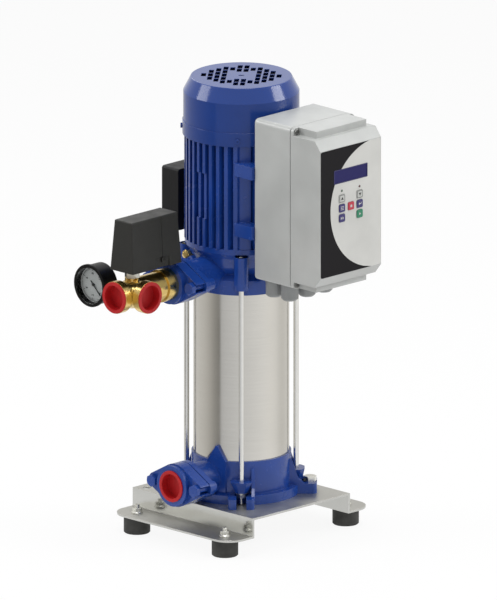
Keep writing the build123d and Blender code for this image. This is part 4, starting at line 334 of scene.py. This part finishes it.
# Steel darkened as painted shade for nuts and screws that sit in pockets and recesses.
screw_steel_painted_shade = turned_metal("screw_steel_painted_shade", linear(70, 70, 68), 0.4)
shaft_steel = turned_metal("shaft_steel", linear(176, 176, 178), 0.22)
cast_alloy = turned_metal("cast_alloy", linear(172, 174, 176), 0.45, pitch=500.0)
brass = turned_metal("brass", linear(232, 202, 128), 0.2)
red_plastic = moulded("red_plastic", linear(186, 30, 34), 0.45, specular=0.25)
black_plastic = moulded("black_plastic", linear(24, 24, 26), 0.5, specular=0.22)
switch_plastic = moulded(
    "switch_plastic", linear(46, 46, 44), 0.5,
    texture=500.0, depth=0.0002, radius=0.0014, specular=0.28,
)
gauge_black = moulded("gauge_black", linear(10, 10, 11), 0.35, specular=0.2)
grey_plastic = moulded(
    "enclosure_grey", linear(184, 186, 184), 0.36,
    texture=600.0, depth=0.0001, radius=0.0014, coat=0.15,
)
gland_plastic = moulded("gland_grey", linear(142, 144, 144), 0.45)
carbon = moulded("seal_carbon", linear(34, 34, 35), 0.3)
fan_plastic = moulded("fan_plastic", linear(30, 30, 32), 0.5)
foot_rubber = rubber("foot_rubber", linear(52, 52, 50))
seal_rubber = rubber("seal_rubber", linear(30, 30, 30))
KEY_GLOSS = {"roughness": 0.3, "radius": 0.0006, "coat": 0.3}
key_white = moulded("key_white", linear(190, 192, 188), **KEY_GLOSS)
key_blue = moulded("key_blue", linear(42, 34, 106), **KEY_GLOSS)
key_red = moulded("key_red", linear(188, 36, 62), **KEY_GLOSS)
key_green = moulded("key_green", linear(24, 128, 92), **KEY_GLOSS)
display = moulded(
    "display_glass", linear(34, 32, 92), 0.25,
    texture=60.0, depth=0.00002, radius=0.0004, specular=0.2,
)
display_trim = moulded("display_trim", linear(30, 28, 92), 0.3, radius=0.0002)
PRINTED = {"roughness": 0.5, "radius": 0.0002}
# The dial's white is greyed to paint the shade of a face turned from the light.
dial_white_painted_shade = moulded("dial_print", linear(164, 166, 165), **PRINTED)
ink_black = moulded("print_black", linear(22, 22, 22), **PRINTED)
ink_white = moulded("print_white", linear(196, 196, 194), **PRINTED)
FOIL = {"roughness": 0.4, "texture": 300.0, "depth": 0.00004, "radius": 0.0002}
label_black = moulded("label_black", linear(18, 16, 20), specular=0.15, **FOIL)
label_pale = moulded("label_pale", linear(206, 206, 202), coat=0.1, **FOIL)
lamp_green = moulded("lamp_green", linear(84, 104, 88), 0.15, coat=0.5)
lamp_red = moulded("lamp_red", linear(96, 66, 66), 0.15, coat=0.5)
board_green = moulded("board_green", linear(30, 96, 56), 0.4)
glass = clear_glass("gauge_glass")
copper = wound_copper("winding_copper")

FINISH = {
    "base_plate": base_steel,
    "rubber_feet": foot_rubber,
    "foot_studs": zinc,
    "hex_nuts": zinc,
    "foundation_bolts": zinc,
    "suction_casing": blue_cast,
    "suction_flange": blue_cast,
    "discharge_flange": blue_cast,
    "flange_bolts": blue_sheet,
    "port_plugs": red_plastic,
    "pump_sleeve": sleeve_steel,
    "gaskets": seal_rubber,
    "tie_rods": rod_steel,
    "stage_casings": stage_steel,
    "impellers": stage_steel,
    "pump_shaft": shaft_steel,
    "bottom_bush": carbon,
    "seal_seat": carbon,
    "seal_head": shaft_steel,
    "shaft_coupling": shaft_steel,
    "discharge_head": blue_cast,
    "vent_plug": brass,
    "check_valve_body": brass,
    "check_valve_poppet": black_plastic,
    "outlet_manifold": brass,
    "gauge_case": gauge_black,
    "gauge_dial": dial_white_painted_shade,
    "gauge_needle": ink_black,
    "gauge_lens": glass,
    "gauge_stem": brass,
    "switch_base": switch_plastic,
    "switch_cover": switch_plastic,
    "switch_nut": zinc,
    "motor_housing": blue_cast,
    "drive_end_shield": cast_alloy,
    "fan_end_shield": cast_alloy,
    "motor_bearings": shaft_steel,
    "stator_core": cast_alloy,
    "stator_windings": copper,
    "motor_rotor": cast_alloy,
    "motor_shaft": shaft_steel,
    "cooling_fan": fan_plastic,
    "fan_cover": blue_sheet,
    "cover_screws": zinc,
    "terminal_box": black_plastic,
    "terminal_box_cover": black_plastic,
    "controller_box": grey_plastic,
    "controller_lid": grey_plastic,
    "lid_seal": seal_rubber,
    "cable_glands": gland_plastic,
    "circuit_board": board_green,
    "controller_screws": zinc,
    "display_window": display,
    "up_key": key_white,
    "down_key": key_white,
    "menu_key": key_blue,
    "shift_key": key_blue,
    "enter_key": key_blue,
    "stop_key": key_red,
    "start_key": key_green,
}
for node_name, material in FINISH.items():
    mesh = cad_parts[node_name].data
    mesh.materials.clear()
    mesh.materials.append(material)
    mesh.shade_smooth()
    mesh.set_sharp_from_angle(angle=SHARP_ANGLE)


# ------------------------------------------------------------ detail pieces
# Local axes of the faces that carry detail: columns are local X, local Y and outward.
PANEL_SIDE = Matrix(((1, 0, 0), (0, 0, -1), (0, 1, 0))).to_4x4()
PORT_SIDE = Matrix(((0, 0, -1), (-1, 0, 0), (0, 1, 0))).to_4x4()
UP, DOWN = (0, 0, 1), (0, 0, -1)

# Weld distance in metres, weight as a share of the text size, and the round flat end of a
# hexagon as a share of its width across flats.
WELD = 1e-6
TEXT_WEIGHT = 0.02
CROWN = 0.94
CHAMFER = math.radians(30)
ROWS_PER_PITCH = 4


def placed(sides, x, y, z):
    """Matrix of a local frame at a point given in millimetres."""
    return Matrix.Translation(Vector((x, y, z)) * MM) @ sides


def facing(direction):
    """Rotation that turns local +Z to a direction."""
    return Vector(direction).to_track_quat("Z", "Y").to_matrix().to_4x4()


def node_box(node):
    """Low corner, high corner and middle of a CAD node, in millimetres."""
    low, high = (Vector(corner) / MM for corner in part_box(node))
    return low, high, (low + high) / 2


def arc_points(x, y, radius, start, end, steps):
    """Points on an arc, angles in degrees."""
    turns = [math.radians(start + (end - start) * k / steps) for k in range(steps + 1)]
    return [(x + radius * math.cos(t), y + radius * math.sin(t)) for t in turns]


def rounded_points(x, y, width, height, radius, steps=5):
    """Outline of a rectangle with rounded corners."""
    points = []
    for side_x, side_y, start in ((1, 1, 0), (-1, 1, 90), (-1, -1, 180), (1, -1, 270)):
        corner_x = x + side_x * (width / 2 - radius)
        corner_y = y + side_y * (height / 2 - radius)
        points += arc_points(corner_x, corner_y, radius, start, start + 90, steps)
    return points


def bar_points(radius, turn, length, width):
    """Outline of a bar that points away from the centre."""
    along = Vector((math.cos(turn), math.sin(turn)))
    across = Vector((-along.y, along.x)) * width / 2
    inner, outer = along * radius, along * (radius + length)
    return [tuple(p) for p in (inner - across, outer - across, outer + across, inner + across)]


def curve_mesh(curve, thickness, matrix):
    """Mesh of a filled curve or text that stands this thick on its place."""
    holder = bpy.data.objects.new(curve.name, curve)
    scene.collection.objects.link(holder)
    shown = holder.evaluated_get(bpy.context.evaluated_depsgraph_get())
    mesh = bpy.data.meshes.new_from_object(shown)
    bpy.data.objects.remove(holder)
    mesh.transform(matrix @ Matrix.Translation((0, 0, thickness / 2 * MM)))
    return mesh


def sheet_mesh(loops, thickness, matrix, edge=0.0):
    """Flat sheet from closed outlines in millimetres; a loop inside another is a hole."""
    curve = bpy.data.curves.new("sheet", "CURVE")
    curve.dimensions = "2D"
    curve.fill_mode = "BOTH"
    curve.extrude = (thickness / 2 - edge) * MM
    curve.bevel_depth = edge * MM
    curve.bevel_resolution = 1
    for loop in loops:
        spline = curve.splines.new("POLY")
        spline.points.add(len(loop) - 1)
        for point, (x, y) in zip(spline.points, loop):
            point.co = (x * MM, y * MM, 0, 1)
        spline.use_cyclic_u = True
    return curve_mesh(curve, thickness, matrix)


def text_mesh(words, size, thickness, matrix):
    """Raised print of a few generic characters, centred on the local origin."""
    curve = bpy.data.curves.new("text", "FONT")
    curve.body = words
    curve.size = size * MM
    curve.align_x = "CENTER"
    curve.align_y = "CENTER"
    curve.resolution_u = 2
    curve.offset = size * TEXT_WEIGHT * MM
    curve.extrude = thickness / 2 * MM
    return curve_mesh(curve, thickness, matrix)


def point_mesh(name, points, faces, matrix):
    """Mesh from points in millimetres, welded, without flat faces, all faces outward."""
    mesh = bpy.data.meshes.new(name)
    mesh.from_pydata([tuple(c * MM for c in point) for point in points], [], faces)
    work = bmesh.new()
    work.from_mesh(mesh)
    bmesh.ops.remove_doubles(work, verts=work.verts, dist=WELD)
    bmesh.ops.dissolve_degenerate(work, edges=work.edges, dist=WELD / 10)
    bmesh.ops.recalc_face_normals(work, faces=work.faces)
    work.to_mesh(mesh)
    work.free()
    mesh.transform(matrix)
    return mesh


def ring_faces(rings, steps):
    """Faces between neighbouring rings of points."""
    faces = []
    for ring in range(rings - 1):
        for k in range(steps):
            a, b = ring * steps + k, ring * steps + (k + 1) % steps
            faces.append((a, b, b + steps, a + steps))
    return faces


def turned_mesh(profile, matrix, steps=32):
    """Surface of revolution about local Z from (radius, height) points in millimetres."""
    points = []
    for radius, height in profile:
        for k in range(steps):
            turn = 2 * math.pi * k / steps
            points.append((radius * math.cos(turn), radius * math.sin(turn), height))
    return point_mesh("turned", points, ring_faces(len(profile), steps), matrix)


def hexagon_mesh(flats, height, bore, matrix, steps=48):
    """Hexagon with its upper corners turned off; bore is the radius of its hole, or zero."""
    crown = flats / 2 * CROWN
    points, faces = [], []
    for k in range(steps):
        turn = 2 * math.pi * k / steps
        reach = flats / 2 / math.cos((turn + math.pi / 6) % (math.pi / 3) - math.pi / 6)
        shoulder = height - (reach - crown) * math.tan(CHAMFER)
        outline = [(bore, 0), (reach, 0), (reach, shoulder), (crown, height), (bore, height)]
        outline.append(outline[0])
        points += [(r * math.cos(turn), r * math.sin(turn), z) for r, z in outline]
        a, b = k * len(outline), (k + 1) % steps * len(outline)
        faces += [(a + j, b + j, b + j + 1, a + j + 1) for j in range(len(outline) - 1)]
    return point_mesh("hexagon", points, faces, matrix)


def threaded_mesh(radius, depth, pitch, length, matrix, steps=24):
    """Rod with a helical thread that runs out at both flat ends."""
    rows = int(math.ceil(length / pitch * ROWS_PER_PITCH))
    points = []
    for row in range(rows + 1):
        height = length * row / rows
        taper = min(1.0, height / pitch, (length - height) / pitch)
        for k in range(steps):
            share = (height / pitch - k / steps) % 1.0
            r = radius - depth * (1.0 - taper) - depth * taper * abs(2 * share - 1)
            turn = 2 * math.pi * k / steps
            points.append((r * math.cos(turn), r * math.sin(turn), height))
    faces = ring_faces(rows + 1, steps)
    faces.append(tuple(reversed(range(steps))))
    faces.append(tuple(rows * steps + k for k in range(steps)))
    return point_mesh("thread", points, faces, matrix)


def piece(name, meshes, material, body, replaced=()):
    """Join meshes into one piece that rides on a body and takes a slot's finish."""
    work = bmesh.new()
    for mesh in meshes:
        work.from_mesh(mesh)
    bmesh.ops.remove_doubles(work, verts=work.verts, dist=WELD / 10)
    joined = bpy.data.meshes.new(name)
    work.to_mesh(joined)
    work.free()
    for mesh in meshes:
        bpy.data.meshes.remove(mesh)
    joined.materials.append(material)
    joined.shade_smooth()
    joined.set_sharp_from_angle(angle=SHARP_ANGLE)
    made = bpy.data.objects.new(name, joined)
    scene.collection.objects.link(made)
    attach(made, body)
    if replaced:
        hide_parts(*replaced)


def solids(node):
    """Points of each separate solid of a CAD node, in millimetres."""
    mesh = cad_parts[node].data
    places = [tuple(round(c, 6) for c in v.co) for v in mesh.vertices]
    group = {place: place for place in places}

    def root(place):
        while group[place] != place:
            group[place] = group[group[place]]
            place = group[place]
        return place

    for edge in mesh.edges:
        first, second = (root(places[v]) for v in edge.vertices)
        group[first] = second
    found = {}
    for place in group:
        found.setdefault(root(place), []).append(Vector(place) / MM)
    return [found[key] for key in sorted(found)]


def box_of(points):
    """Low and high corner of the box round some points."""
    low = Vector(min(p[i] for p in points) for i in range(3))
    high = Vector(max(p[i] for p in points) for i in range(3))
    return low, high


def centre_line(points, direction):
    """A solid's low and high end along a direction, and its frame at a height there."""
    turn = facing(direction)
    low, high = box_of([turn.inverted() @ p for p in points])

    def at(height):
        centre = Vector(((low.x + high.x) / 2, (low.y + high.y) / 2, height))
        return Matrix.Translation(turn @ centre * MM) @ turn

    return low.z, high.z, at


# Fasteners in millimetres. A thread is its radius, depth and pitch.
M8_FLATS, M8_HOLE, M8_THREAD = 13.0, 3.95, (4.0, 0.62, 1.25)
M10_FLATS, M10_HEAD, M10_SHANK = 17.0, 7.5, 5.0
M12_FLATS, M12_HEAD, M12_HOLE, M12_THREAD = 18.0, 7.5, 5.9, (6.0, 0.85, 1.75)
PLATE_THICKNESS = 3.0
# Heights that tell one group of solids in a node from another.
LUG_NUTS = (60, 80)
POCKET_NUTS_ABOVE = 400
BOLT_TOPS_ABOVE = 73

# Flange nuts: the flange is turned to the lug, and the pocket nuts take steel darkened as painted
# shade for their pockets.
nut_meshes, pocket_meshes = [], []
for points in solids("hex_nuts"):
    low, high = box_of(points)
    seat, top, at = centre_line(points, DOWN if LUG_NUTS[0] < low.z < LUG_NUTS[1] else UP)
    rim = (high.x - low.x) / 2
    flange = [(M8_HOLE, 0), (rim, 0), (rim, 0.9), (rim - 0.4, 1.4), (6.6, 2.6), (M8_HOLE, 2.6)]
    group = pocket_meshes if low.z > POCKET_NUTS_ABOVE else nut_meshes
    group.append(hexagon_mesh(M8_FLATS, top - seat, M8_HOLE, at(seat)))
    group.append(turned_mesh(flange + flange[:1], at(seat)))
piece("flange_nuts", nut_meshes, zinc, "frame", ["hex_nuts"])
# Pocket nuts: steel darkened as painted shade.
piece("pocket_nuts", pocket_meshes, screw_steel_painted_shade, "frame", ["hex_nuts"])

stud_meshes = []
for points in solids("foot_studs"):
    low_end, high_end, at = centre_line(points, UP)
    stud_meshes.append(threaded_mesh(*M8_THREAD, high_end - low_end, at(low_end)))
piece("threaded_studs", stud_meshes, zinc, "frame", ["foot_studs"])

bolt_meshes = []
for points in solids("flange_bolts"):
    low_end, high_end, at = centre_line(points, (-1, 0, 0))
    seat = high_end - M10_HEAD
    tip = low_end - seat
    shank = ((0, tip), (M10_SHANK - 0.8, tip), (M10_SHANK, tip + 0.8), (M10_SHANK, 0.4), (0, 0.4))
    washer = ((0, 0), (8.2, 0), (8.2, 0.5), (0, 0.5))
    bolt_meshes.append(hexagon_mesh(M10_FLATS, M10_HEAD, 0.0, at(seat)))
    bolt_meshes.append(turned_mesh(shank, at(seat)))
    bolt_meshes.append(turned_mesh(washer, at(seat)))
piece("port_bolts", bolt_meshes, blue_cast, "frame", ["flange_bolts"])

# Each foundation bolt has a nut under the base plate.
base_top = node_box("base_plate")[1].z
anchor_meshes = []
for points in solids("foundation_bolts"):
    low_end, high_end, at = centre_line(points, UP)
    if high_end > BOLT_TOPS_ABOVE:
        seat = high_end - M12_HEAD
        x, y = (at(0).translation / MM)[:2]
        under = placed(facing(DOWN), x, y, base_top - PLATE_THICKNESS)
        washer = ((0, 0), (9.0, 0), (9.0, 0.6), (0, 0.6))
        anchor_meshes.append(hexagon_mesh(M12_FLATS, M12_HEAD, 0.0, at(seat)))
        anchor_meshes.append(turned_mesh(washer, at(seat)))
        anchor_meshes.append(threaded_mesh(*M12_THREAD, seat - low_end, at(low_end)))
        anchor_meshes.append(hexagon_mesh(M12_FLATS, M12_HEAD, M12_HOLE, under))
piece("anchor_bolts", anchor_meshes, zinc, "frame", ["foundation_bolts"])

# Pan head screws with a cross recess. The hood's stand round it, the others face a side.
HEAD_RADIUS, HEAD_HEIGHT, RECESS, SHANK_RADIUS = 3.75, 2.8, 1.7, 2.0
HOOD_SCREWS = (610, 640)
TERMINAL_SIDE_Y = 50
SWITCH_SIDE_X = -150
long, short = 2.1, 0.55
cross = [
    (short, short), (long, short), (long, -short), (short, -short), (short, -long),
    (-short, -long), (-short, -short), (-long, -short), (-long, short), (-short, short),
    (-short, long), (short, long),
]
hood_meshes, case_meshes, switch_meshes = [], [], []
for points in solids("cover_screws"):
    middle = sum(box_of(points), Vector()) / 2
    if HOOD_SCREWS[0] < middle.z < HOOD_SCREWS[1]:
        group, direction = hood_meshes, Vector((middle.x, middle.y, 0)).normalized()
    else:
        group = switch_meshes if middle.x < SWITCH_SIDE_X else case_meshes
        direction = (0, 1 if middle.y > TERMINAL_SIDE_Y else -1, 0)
    low_end, high_end, at = centre_line(points, direction)
    head = [arc_points(0, 0, HEAD_RADIUS, 0, 360, 28)[:-1], cross]
    group.append(sheet_mesh(head, RECESS, at(high_end - RECESS), 0.3))
    pan = ((0, 0), (HEAD_RADIUS - 0.05, 0), (HEAD_RADIUS - 0.05, 1.2), (0, 1.2))
    group.append(turned_mesh(pan, at(high_end - HEAD_HEIGHT)))
    length = high_end - HEAD_HEIGHT + 0.3 - low_end
    stem = ((0, 0), (1.4, 0), (SHANK_RADIUS, 0.8), (SHANK_RADIUS, length), (0, length))
    group.append(turned_mesh(stem, at(low_end), 16))
piece("hood_screws", hood_meshes, blue_sheet, "frame", ["cover_screws"])
piece("case_screws", case_meshes, screw_steel, "frame", ["cover_screws"])
# The switch screw takes steel darkened as painted shade.
piece("switch_screw", switch_meshes, screw_steel_painted_shade, "frame", ["cover_screws"])

# Panel film on the lid: black on the left, pale inside the large circle, holes for the keys.
PANEL_HALF_WIDTH, PANEL_CORNER = 63.3, 3.0
PANEL_LOW, PANEL_HIGH = 442.9, 639.2
FILM, TRIM = 0.3, 0.25
KEY_HOLE, KEY_HOLE_CORNER = 12.8, 2.0
SWEEP_X, SWEEP_Z, SWEEP_RADIUS = 56.5, 541.5, 99.4
KEYS = ("up_key", "menu_key", "shift_key", "stop_key", "down_key", "enter_key", "start_key")
lid_face = node_box("controller_lid")[0].y
window_low, window_high, window_middle = node_box("display_window")
WINDOW_PLAY = 0.2


def sweep_points(low, high, steps):
    """Points of the large circle's left side between two heights."""
    heights = [low + (high - low) * k / steps for k in range(steps + 1)]
    return [(SWEEP_X - math.sqrt(SWEEP_RADIUS ** 2 - (z - SWEEP_Z) ** 2), z) for z in heights]


def film_outline(window_side, side):
    """One part of the film: the circle, the window's edge and two rounded corners."""
    base, head = window_low.z - WINDOW_PLAY, window_high.z + WINDOW_PLAY
    points = sweep_points(PANEL_LOW, base, 40)
    points += [(window_side, base), (window_side, head)]
    points += sweep_points(head, PANEL_HIGH, 20)
    x, quarter = side * (PANEL_HALF_WIDTH - PANEL_CORNER), side * 90
    corners = ((PANEL_HIGH - PANEL_CORNER, 90), (PANEL_LOW + PANEL_CORNER, 90 - quarter))
    for z, start in corners:
        points += arc_points(x, z, PANEL_CORNER, start, start - quarter, 5)
    return points


on_lid = placed(PANEL_SIDE, 0, lid_face, 0)
on_film = placed(PANEL_SIDE, 0, lid_face - FILM, 0)
dark_film = sheet_mesh([film_outline(window_low.x - WINDOW_PLAY, -1)], FILM, on_lid)
piece("panel_film_dark", [dark_film], label_black, "frame")
pale_loops = [film_outline(window_high.x + WINDOW_PLAY, 1)]
for key in KEYS:
    x, _, z = node_box(key)[2]
    pale_loops.append(rounded_points(x, z, KEY_HOLE, KEY_HOLE, KEY_HOLE_CORNER))
pale_film = sheet_mesh(pale_loops, FILM, on_lid)
piece("panel_film_pale", [pale_film], label_pale, "frame")
width = window_high.x - window_low.x + 2 * WINDOW_PLAY
height = window_high.z - window_low.z + 2 * WINDOW_PLAY
trim_loops = [
    rounded_points(window_middle.x, window_middle.z, width + margin, height + margin, radius)
    for margin, radius in ((1.6, 1.2), (-1.2, 0.8))
]
trim = sheet_mesh(trim_loops, TRIM, on_film)
piece("display_frame", [trim], display_trim, "frame")

# Status lamps over the two outer key columns.
DOME = ((1.9, 0), (1.9, 0.3), (1.7, 0.7), (1.2, 1.05), (0.6, 1.2), (0, 1.25), (0, 0), (1.9, 0))
LAMP_RISE = 5.0
for name, key, material in (
    ("power_lamp", "up_key", lamp_green),
    ("run_lamp", "down_key", lamp_red),
):
    _, key_high, key_middle = node_box(key)
    spot = placed(PANEL_SIDE, key_middle.x, lid_face - FILM, key_high.z + LAMP_RISE)
    piece(name, [turned_mesh(DOME, spot, 20)], material, "frame")

# Key prints: plain signs, slightly raised.
PRINT = 0.12
RING = [rounded_points(0, 0, 11.0, 11.0, 1.8), rounded_points(0, 0, 9.8, 9.8, 1.3)]
BARS = [
    [(-3.2, h - 0.45), (3.2, h - 0.45), (3.2, h + 0.45), (-3.2, h + 0.45)] for h in (-2.2, 0, 2.2)
]
CHEVRONS = [[(c - 1.4, -2.4), (c + 1.4, 0), (c - 1.4, 2.4)] for c in (-1.8, 1.8)]
RETURN_ARROW = [
    (-3.0, 0.0), (-0.6, -2.2), (-0.6, -0.6), (2.4, -0.6), (2.4, 2.4), (3.2, 2.4), (3.2, 0.6),
    (-0.6, 0.6), (-0.6, 2.2),
]
SIGNS = {
    "up_key": (RING + [[(-2.6, -1.9), (2.6, -1.9), (0, 2.6)]], ink_black),
    "down_key": (RING + [[(-2.6, 1.9), (0, -2.6), (2.6, 1.9)]], ink_black),
    "menu_key": (BARS, ink_white),
    "shift_key": (CHEVRONS, ink_white),
    "stop_key": ([rounded_points(0, 0, 3.8, 3.8, 0.4)], ink_white),
    "enter_key": ([RETURN_ARROW], ink_white),
    "start_key": ([[(-1.4, -2.0), (2.1, 0), (-1.4, 2.0)]], ink_white),
}
for key, (loops, material) in SIGNS.items():
    key_low, _, key_middle = node_box(key)
    spot = placed(PANEL_SIDE, key_middle.x, key_low.y, key_middle.z)
    piece(f"{key}_sign", [sheet_mesh(loops, PRINT, spot)], material, key)

# Dial print: the scale runs clockwise from the lower right, and its numbers lie on their side.
SCALE_START, SCALE_SWEEP = -45.0, 270.0
MAJORS, MINORS = 6, 50
NUMBER_RADIUS, NUMBER_SIZE = 17.0, 6.4
ARC_INSIDE, ARC_OUTSIDE = 25.1, 25.6
MAJOR_TICK = (21.0, 4.0, 0.8)
MINOR_TICK = (23.0, 2.0, 0.35)
dial_low, _, dial_middle = node_box("gauge_dial")
dial_spot = placed(PORT_SIDE, dial_low.x, dial_middle.y, dial_middle.z)
ticks = []
for k in range(MINORS + 1):
    turn = math.radians(SCALE_START - SCALE_SWEEP * k / MINORS)
    radius, length, width = MINOR_TICK if k % (MINORS // (MAJORS - 1)) else MAJOR_TICK
    ticks.append(bar_points(radius, turn, length, width))
scale_end = SCALE_START - SCALE_SWEEP
arc = arc_points(0, 0, ARC_OUTSIDE, SCALE_START, scale_end, 60)
arc += arc_points(0, 0, ARC_INSIDE, scale_end, SCALE_START, 60)
dial_meshes = [sheet_mesh(ticks, PRINT, dial_spot), sheet_mesh([arc], PRINT, dial_spot)]
for k in range(MAJORS):
    turn = math.radians(SCALE_START - SCALE_SWEEP * k / (MAJORS - 1))
    spot = Vector((math.cos(turn), math.sin(turn), 0)) * NUMBER_RADIUS * MM
    number_place = Matrix.Translation(spot) @ Matrix.Rotation(math.radians(90), 4, "Z")
    dial_meshes.append(text_mesh(str(2 * k), NUMBER_SIZE, PRINT, dial_spot @ number_place))
piece("dial_scale", dial_meshes, ink_black, "frame")
CAP = ((2.6, 0), (2.6, 0.5), (2.2, 0.9), (0, 1.0), (0, 0), (2.6, 0))
cap_spot = placed(PORT_SIDE, node_box("gauge_needle")[0].x, dial_middle.y, dial_middle.z)
piece("needle_cap", [turned_mesh(CAP, cap_spot, 24)], ink_black, "needle")


# ------------------------------------------------------------------ studio
def seen_only(tree):
    """1 for rays that show the background: camera, glossy and transmission rays."""
    path = tree.nodes.new("ShaderNodeLightPath")
    seen = path.outputs["Is Camera Ray"]
    for ray in ("Is Glossy Ray", "Is Transmission Ray"):
        either = tree.nodes.new("ShaderNodeMath")
        either.operation = "MAXIMUM"
        tree.links.new(seen, either.inputs[0])
        tree.links.new(path.outputs[ray], either.inputs[1])
        seen = either.outputs[0]
    return seen


# The floor keeps the shadow and adds a share of white for rays that see it.
FLOOR_HALF = 7.0
FLOOR_WHITE_SHARE = 0.9
floor_material = bpy.data.materials.new("studio_floor")
floor_material.use_nodes = True
floor_tree = floor_material.node_tree
floor_shader = floor_tree.nodes["Principled BSDF"]
floor_shader.inputs["Base Color"].default_value = (0.9, 0.9, 0.9, 1.0)
floor_shader.inputs["Roughness"].default_value = 0.9
floor_glow = floor_tree.nodes.new("ShaderNodeEmission")
floor_glow.inputs["Strength"].default_value = 1.0
floor_mix = floor_tree.nodes.new("ShaderNodeMixShader")
floor_share = floor_tree.nodes.new("ShaderNodeMath")
floor_share.operation = "MULTIPLY"
floor_share.inputs[1].default_value = FLOOR_WHITE_SHARE
floor_tree.links.new(seen_only(floor_tree), floor_share.inputs[0])
floor_tree.links.new(floor_share.outputs[0], floor_mix.inputs["Fac"])
floor_tree.links.new(floor_shader.outputs[0], floor_mix.inputs[1])
floor_tree.links.new(floor_glow.outputs[0], floor_mix.inputs[2])
floor_tree.links.new(floor_mix.outputs[0], floor_tree.nodes["Material Output"].inputs["Surface"])
floor_mesh = bpy.data.meshes.new("studio_floor")
floor_signs = ((-1, -1), (1, -1), (1, 1), (-1, 1))
floor_corners = [(x * FLOOR_HALF, y * FLOOR_HALF, 0) for x, y in floor_signs]
floor_mesh.from_pydata(floor_corners, [], [(0, 1, 2, 3)])
floor_mesh.materials.append(floor_material)
plane = bpy.data.objects.new("studio_floor", floor_mesh)
scene.collection.objects.link(plane)

WORLD_LIGHT, WORLD_SEEN = 0.5, 1.0
world = bpy.data.worlds.new("studio")
scene.world = world
world.use_nodes = True
world_tree = world.node_tree
world_background = world_tree.nodes["Background"]
world_background.inputs["Color"].default_value = (1.0, 1.0, 1.0, 1.0)
world_strength = world_tree.nodes.new("ShaderNodeMapRange")
world_strength.inputs["To Min"].default_value = WORLD_LIGHT
world_strength.inputs["To Max"].default_value = WORLD_SEEN
world_tree.links.new(seen_only(world_tree), world_strength.inputs["Value"])
world_tree.links.new(world_strength.outputs["Result"], world_background.inputs["Strength"])

# Soft boxes: name, place, height of the point that they face, side length and power.
for name, place, target_height, size, power in (
    ("key", (1.9, -2.1, 2.0), 0.4, 1.2, 36.0),
    ("top", (-0.3, -0.3, 2.8), 0.4, 1.2, 23.0),
    ("side", (-1.9, 1.9, 2.0), 0.5, 1.2, 26.0),
    ("rim", (0.8, 2.0, 1.8), 0.5, 1.0, 8.0),
):
    data = bpy.data.lights.new(name, "AREA")
    data.shape = "RECTANGLE"
    data.size = data.size_y = size
    data.energy = power
    light = bpy.data.objects.new(name, data)
    light.location = place
    light.rotation_mode = "QUATERNION"
    towards = Vector((0, 0, target_height)) - Vector(place)
    light.rotation_quaternion = towards.to_track_quat("-Z", "Y")
    scene.collection.objects.link(light)


# Reflection wall: seen only by glossy rays, so that bright metal has something to reflect.
WALL_RADIUS = 0.42
WALL_HEIGHT = 0.62
WALL_STEPS = 96
# Share of a turn about the pump axis, brightness, and warmth of the wall there.
WALL_TONES = (
    (0.0, 0.57, 0.0),
    (0.022, 0.62, 0.0),
    (0.083, 0.69, 0.0),
    (0.142, 0.755, 0.1),
    (0.203, 0.82, 0.2),
    (0.267, 0.885, 0.3),
    (0.306, 0.905, 0.5),
    (0.333, 0.885, 0.5),
    (0.364, 0.837, 0.5),
    (0.389, 0.76, 0.6),
    (0.422, 0.71, 0.7),
    (0.5, 0.74, 0.7),
    (0.74, 0.70, 0.7),
    (0.792, 0.70, 0.7),
    (0.855, 0.64, 0.8),
    (0.888, 0.58, 0.9),
    (0.922, 0.48, 1.0),
    (0.95, 0.37, 1.0),
    (0.99, 0.26, 1.0),
    (0.9945, 0.52, 0.0),
)
WALL_WARMTH = (0.0, 0.03, 0.09)
wall_material = bpy.data.materials.new("reflection_wall")
wall_material.use_nodes = True
wall_tree = wall_material.node_tree
wall_tree.nodes.clear()
wall_place = wall_tree.nodes.new("ShaderNodeTexCoord")
wall_turn = wall_tree.nodes.new("ShaderNodeTexGradient")
wall_turn.gradient_type = "RADIAL"
wall_ramp = wall_tree.nodes.new("ShaderNodeValToRGB")
for place, *_ in WALL_TONES[1:-1]:
    wall_ramp.color_ramp.elements.new(place)
for element, (place, tone, warmth) in zip(wall_ramp.color_ramp.elements, WALL_TONES):
    element.position = place
    element.color = (*(tone * (1 - warmth * cut) for cut in WALL_WARMTH), 1.0)
wall_glow = wall_tree.nodes.new("ShaderNodeEmission")
wall_output = wall_tree.nodes.new("ShaderNodeOutputMaterial")
wall_tree.links.new(wall_place.outputs["Object"], wall_turn.inputs["Vector"])
wall_tree.links.new(wall_turn.outputs["Fac"], wall_ramp.inputs["Fac"])
wall_tree.links.new(wall_ramp.outputs["Color"], wall_glow.inputs["Color"])
wall_tree.links.new(wall_glow.outputs["Emission"], wall_output.inputs["Surface"])

wall_mesh = bpy.data.meshes.new("reflection_wall")
wall_points = []
wall_faces = []
for step in range(WALL_STEPS):
    turn = 2 * math.pi * step / WALL_STEPS
    for height in (0.0, WALL_HEIGHT):
        wall_points.append((WALL_RADIUS * math.cos(turn), WALL_RADIUS * math.sin(turn), height))
    a, b = 2 * step, 2 * ((step + 1) % WALL_STEPS)
    wall_faces.append((a, b, b + 1, a + 1))
wall_mesh.from_pydata(wall_points, [], wall_faces)
wall_mesh.materials.append(wall_material)
wall = bpy.data.objects.new("reflection_wall", wall_mesh)
wall.visible_camera = False
wall.visible_diffuse = False
wall.visible_transmission = False
wall.visible_shadow = False
scene.collection.objects.link(wall)
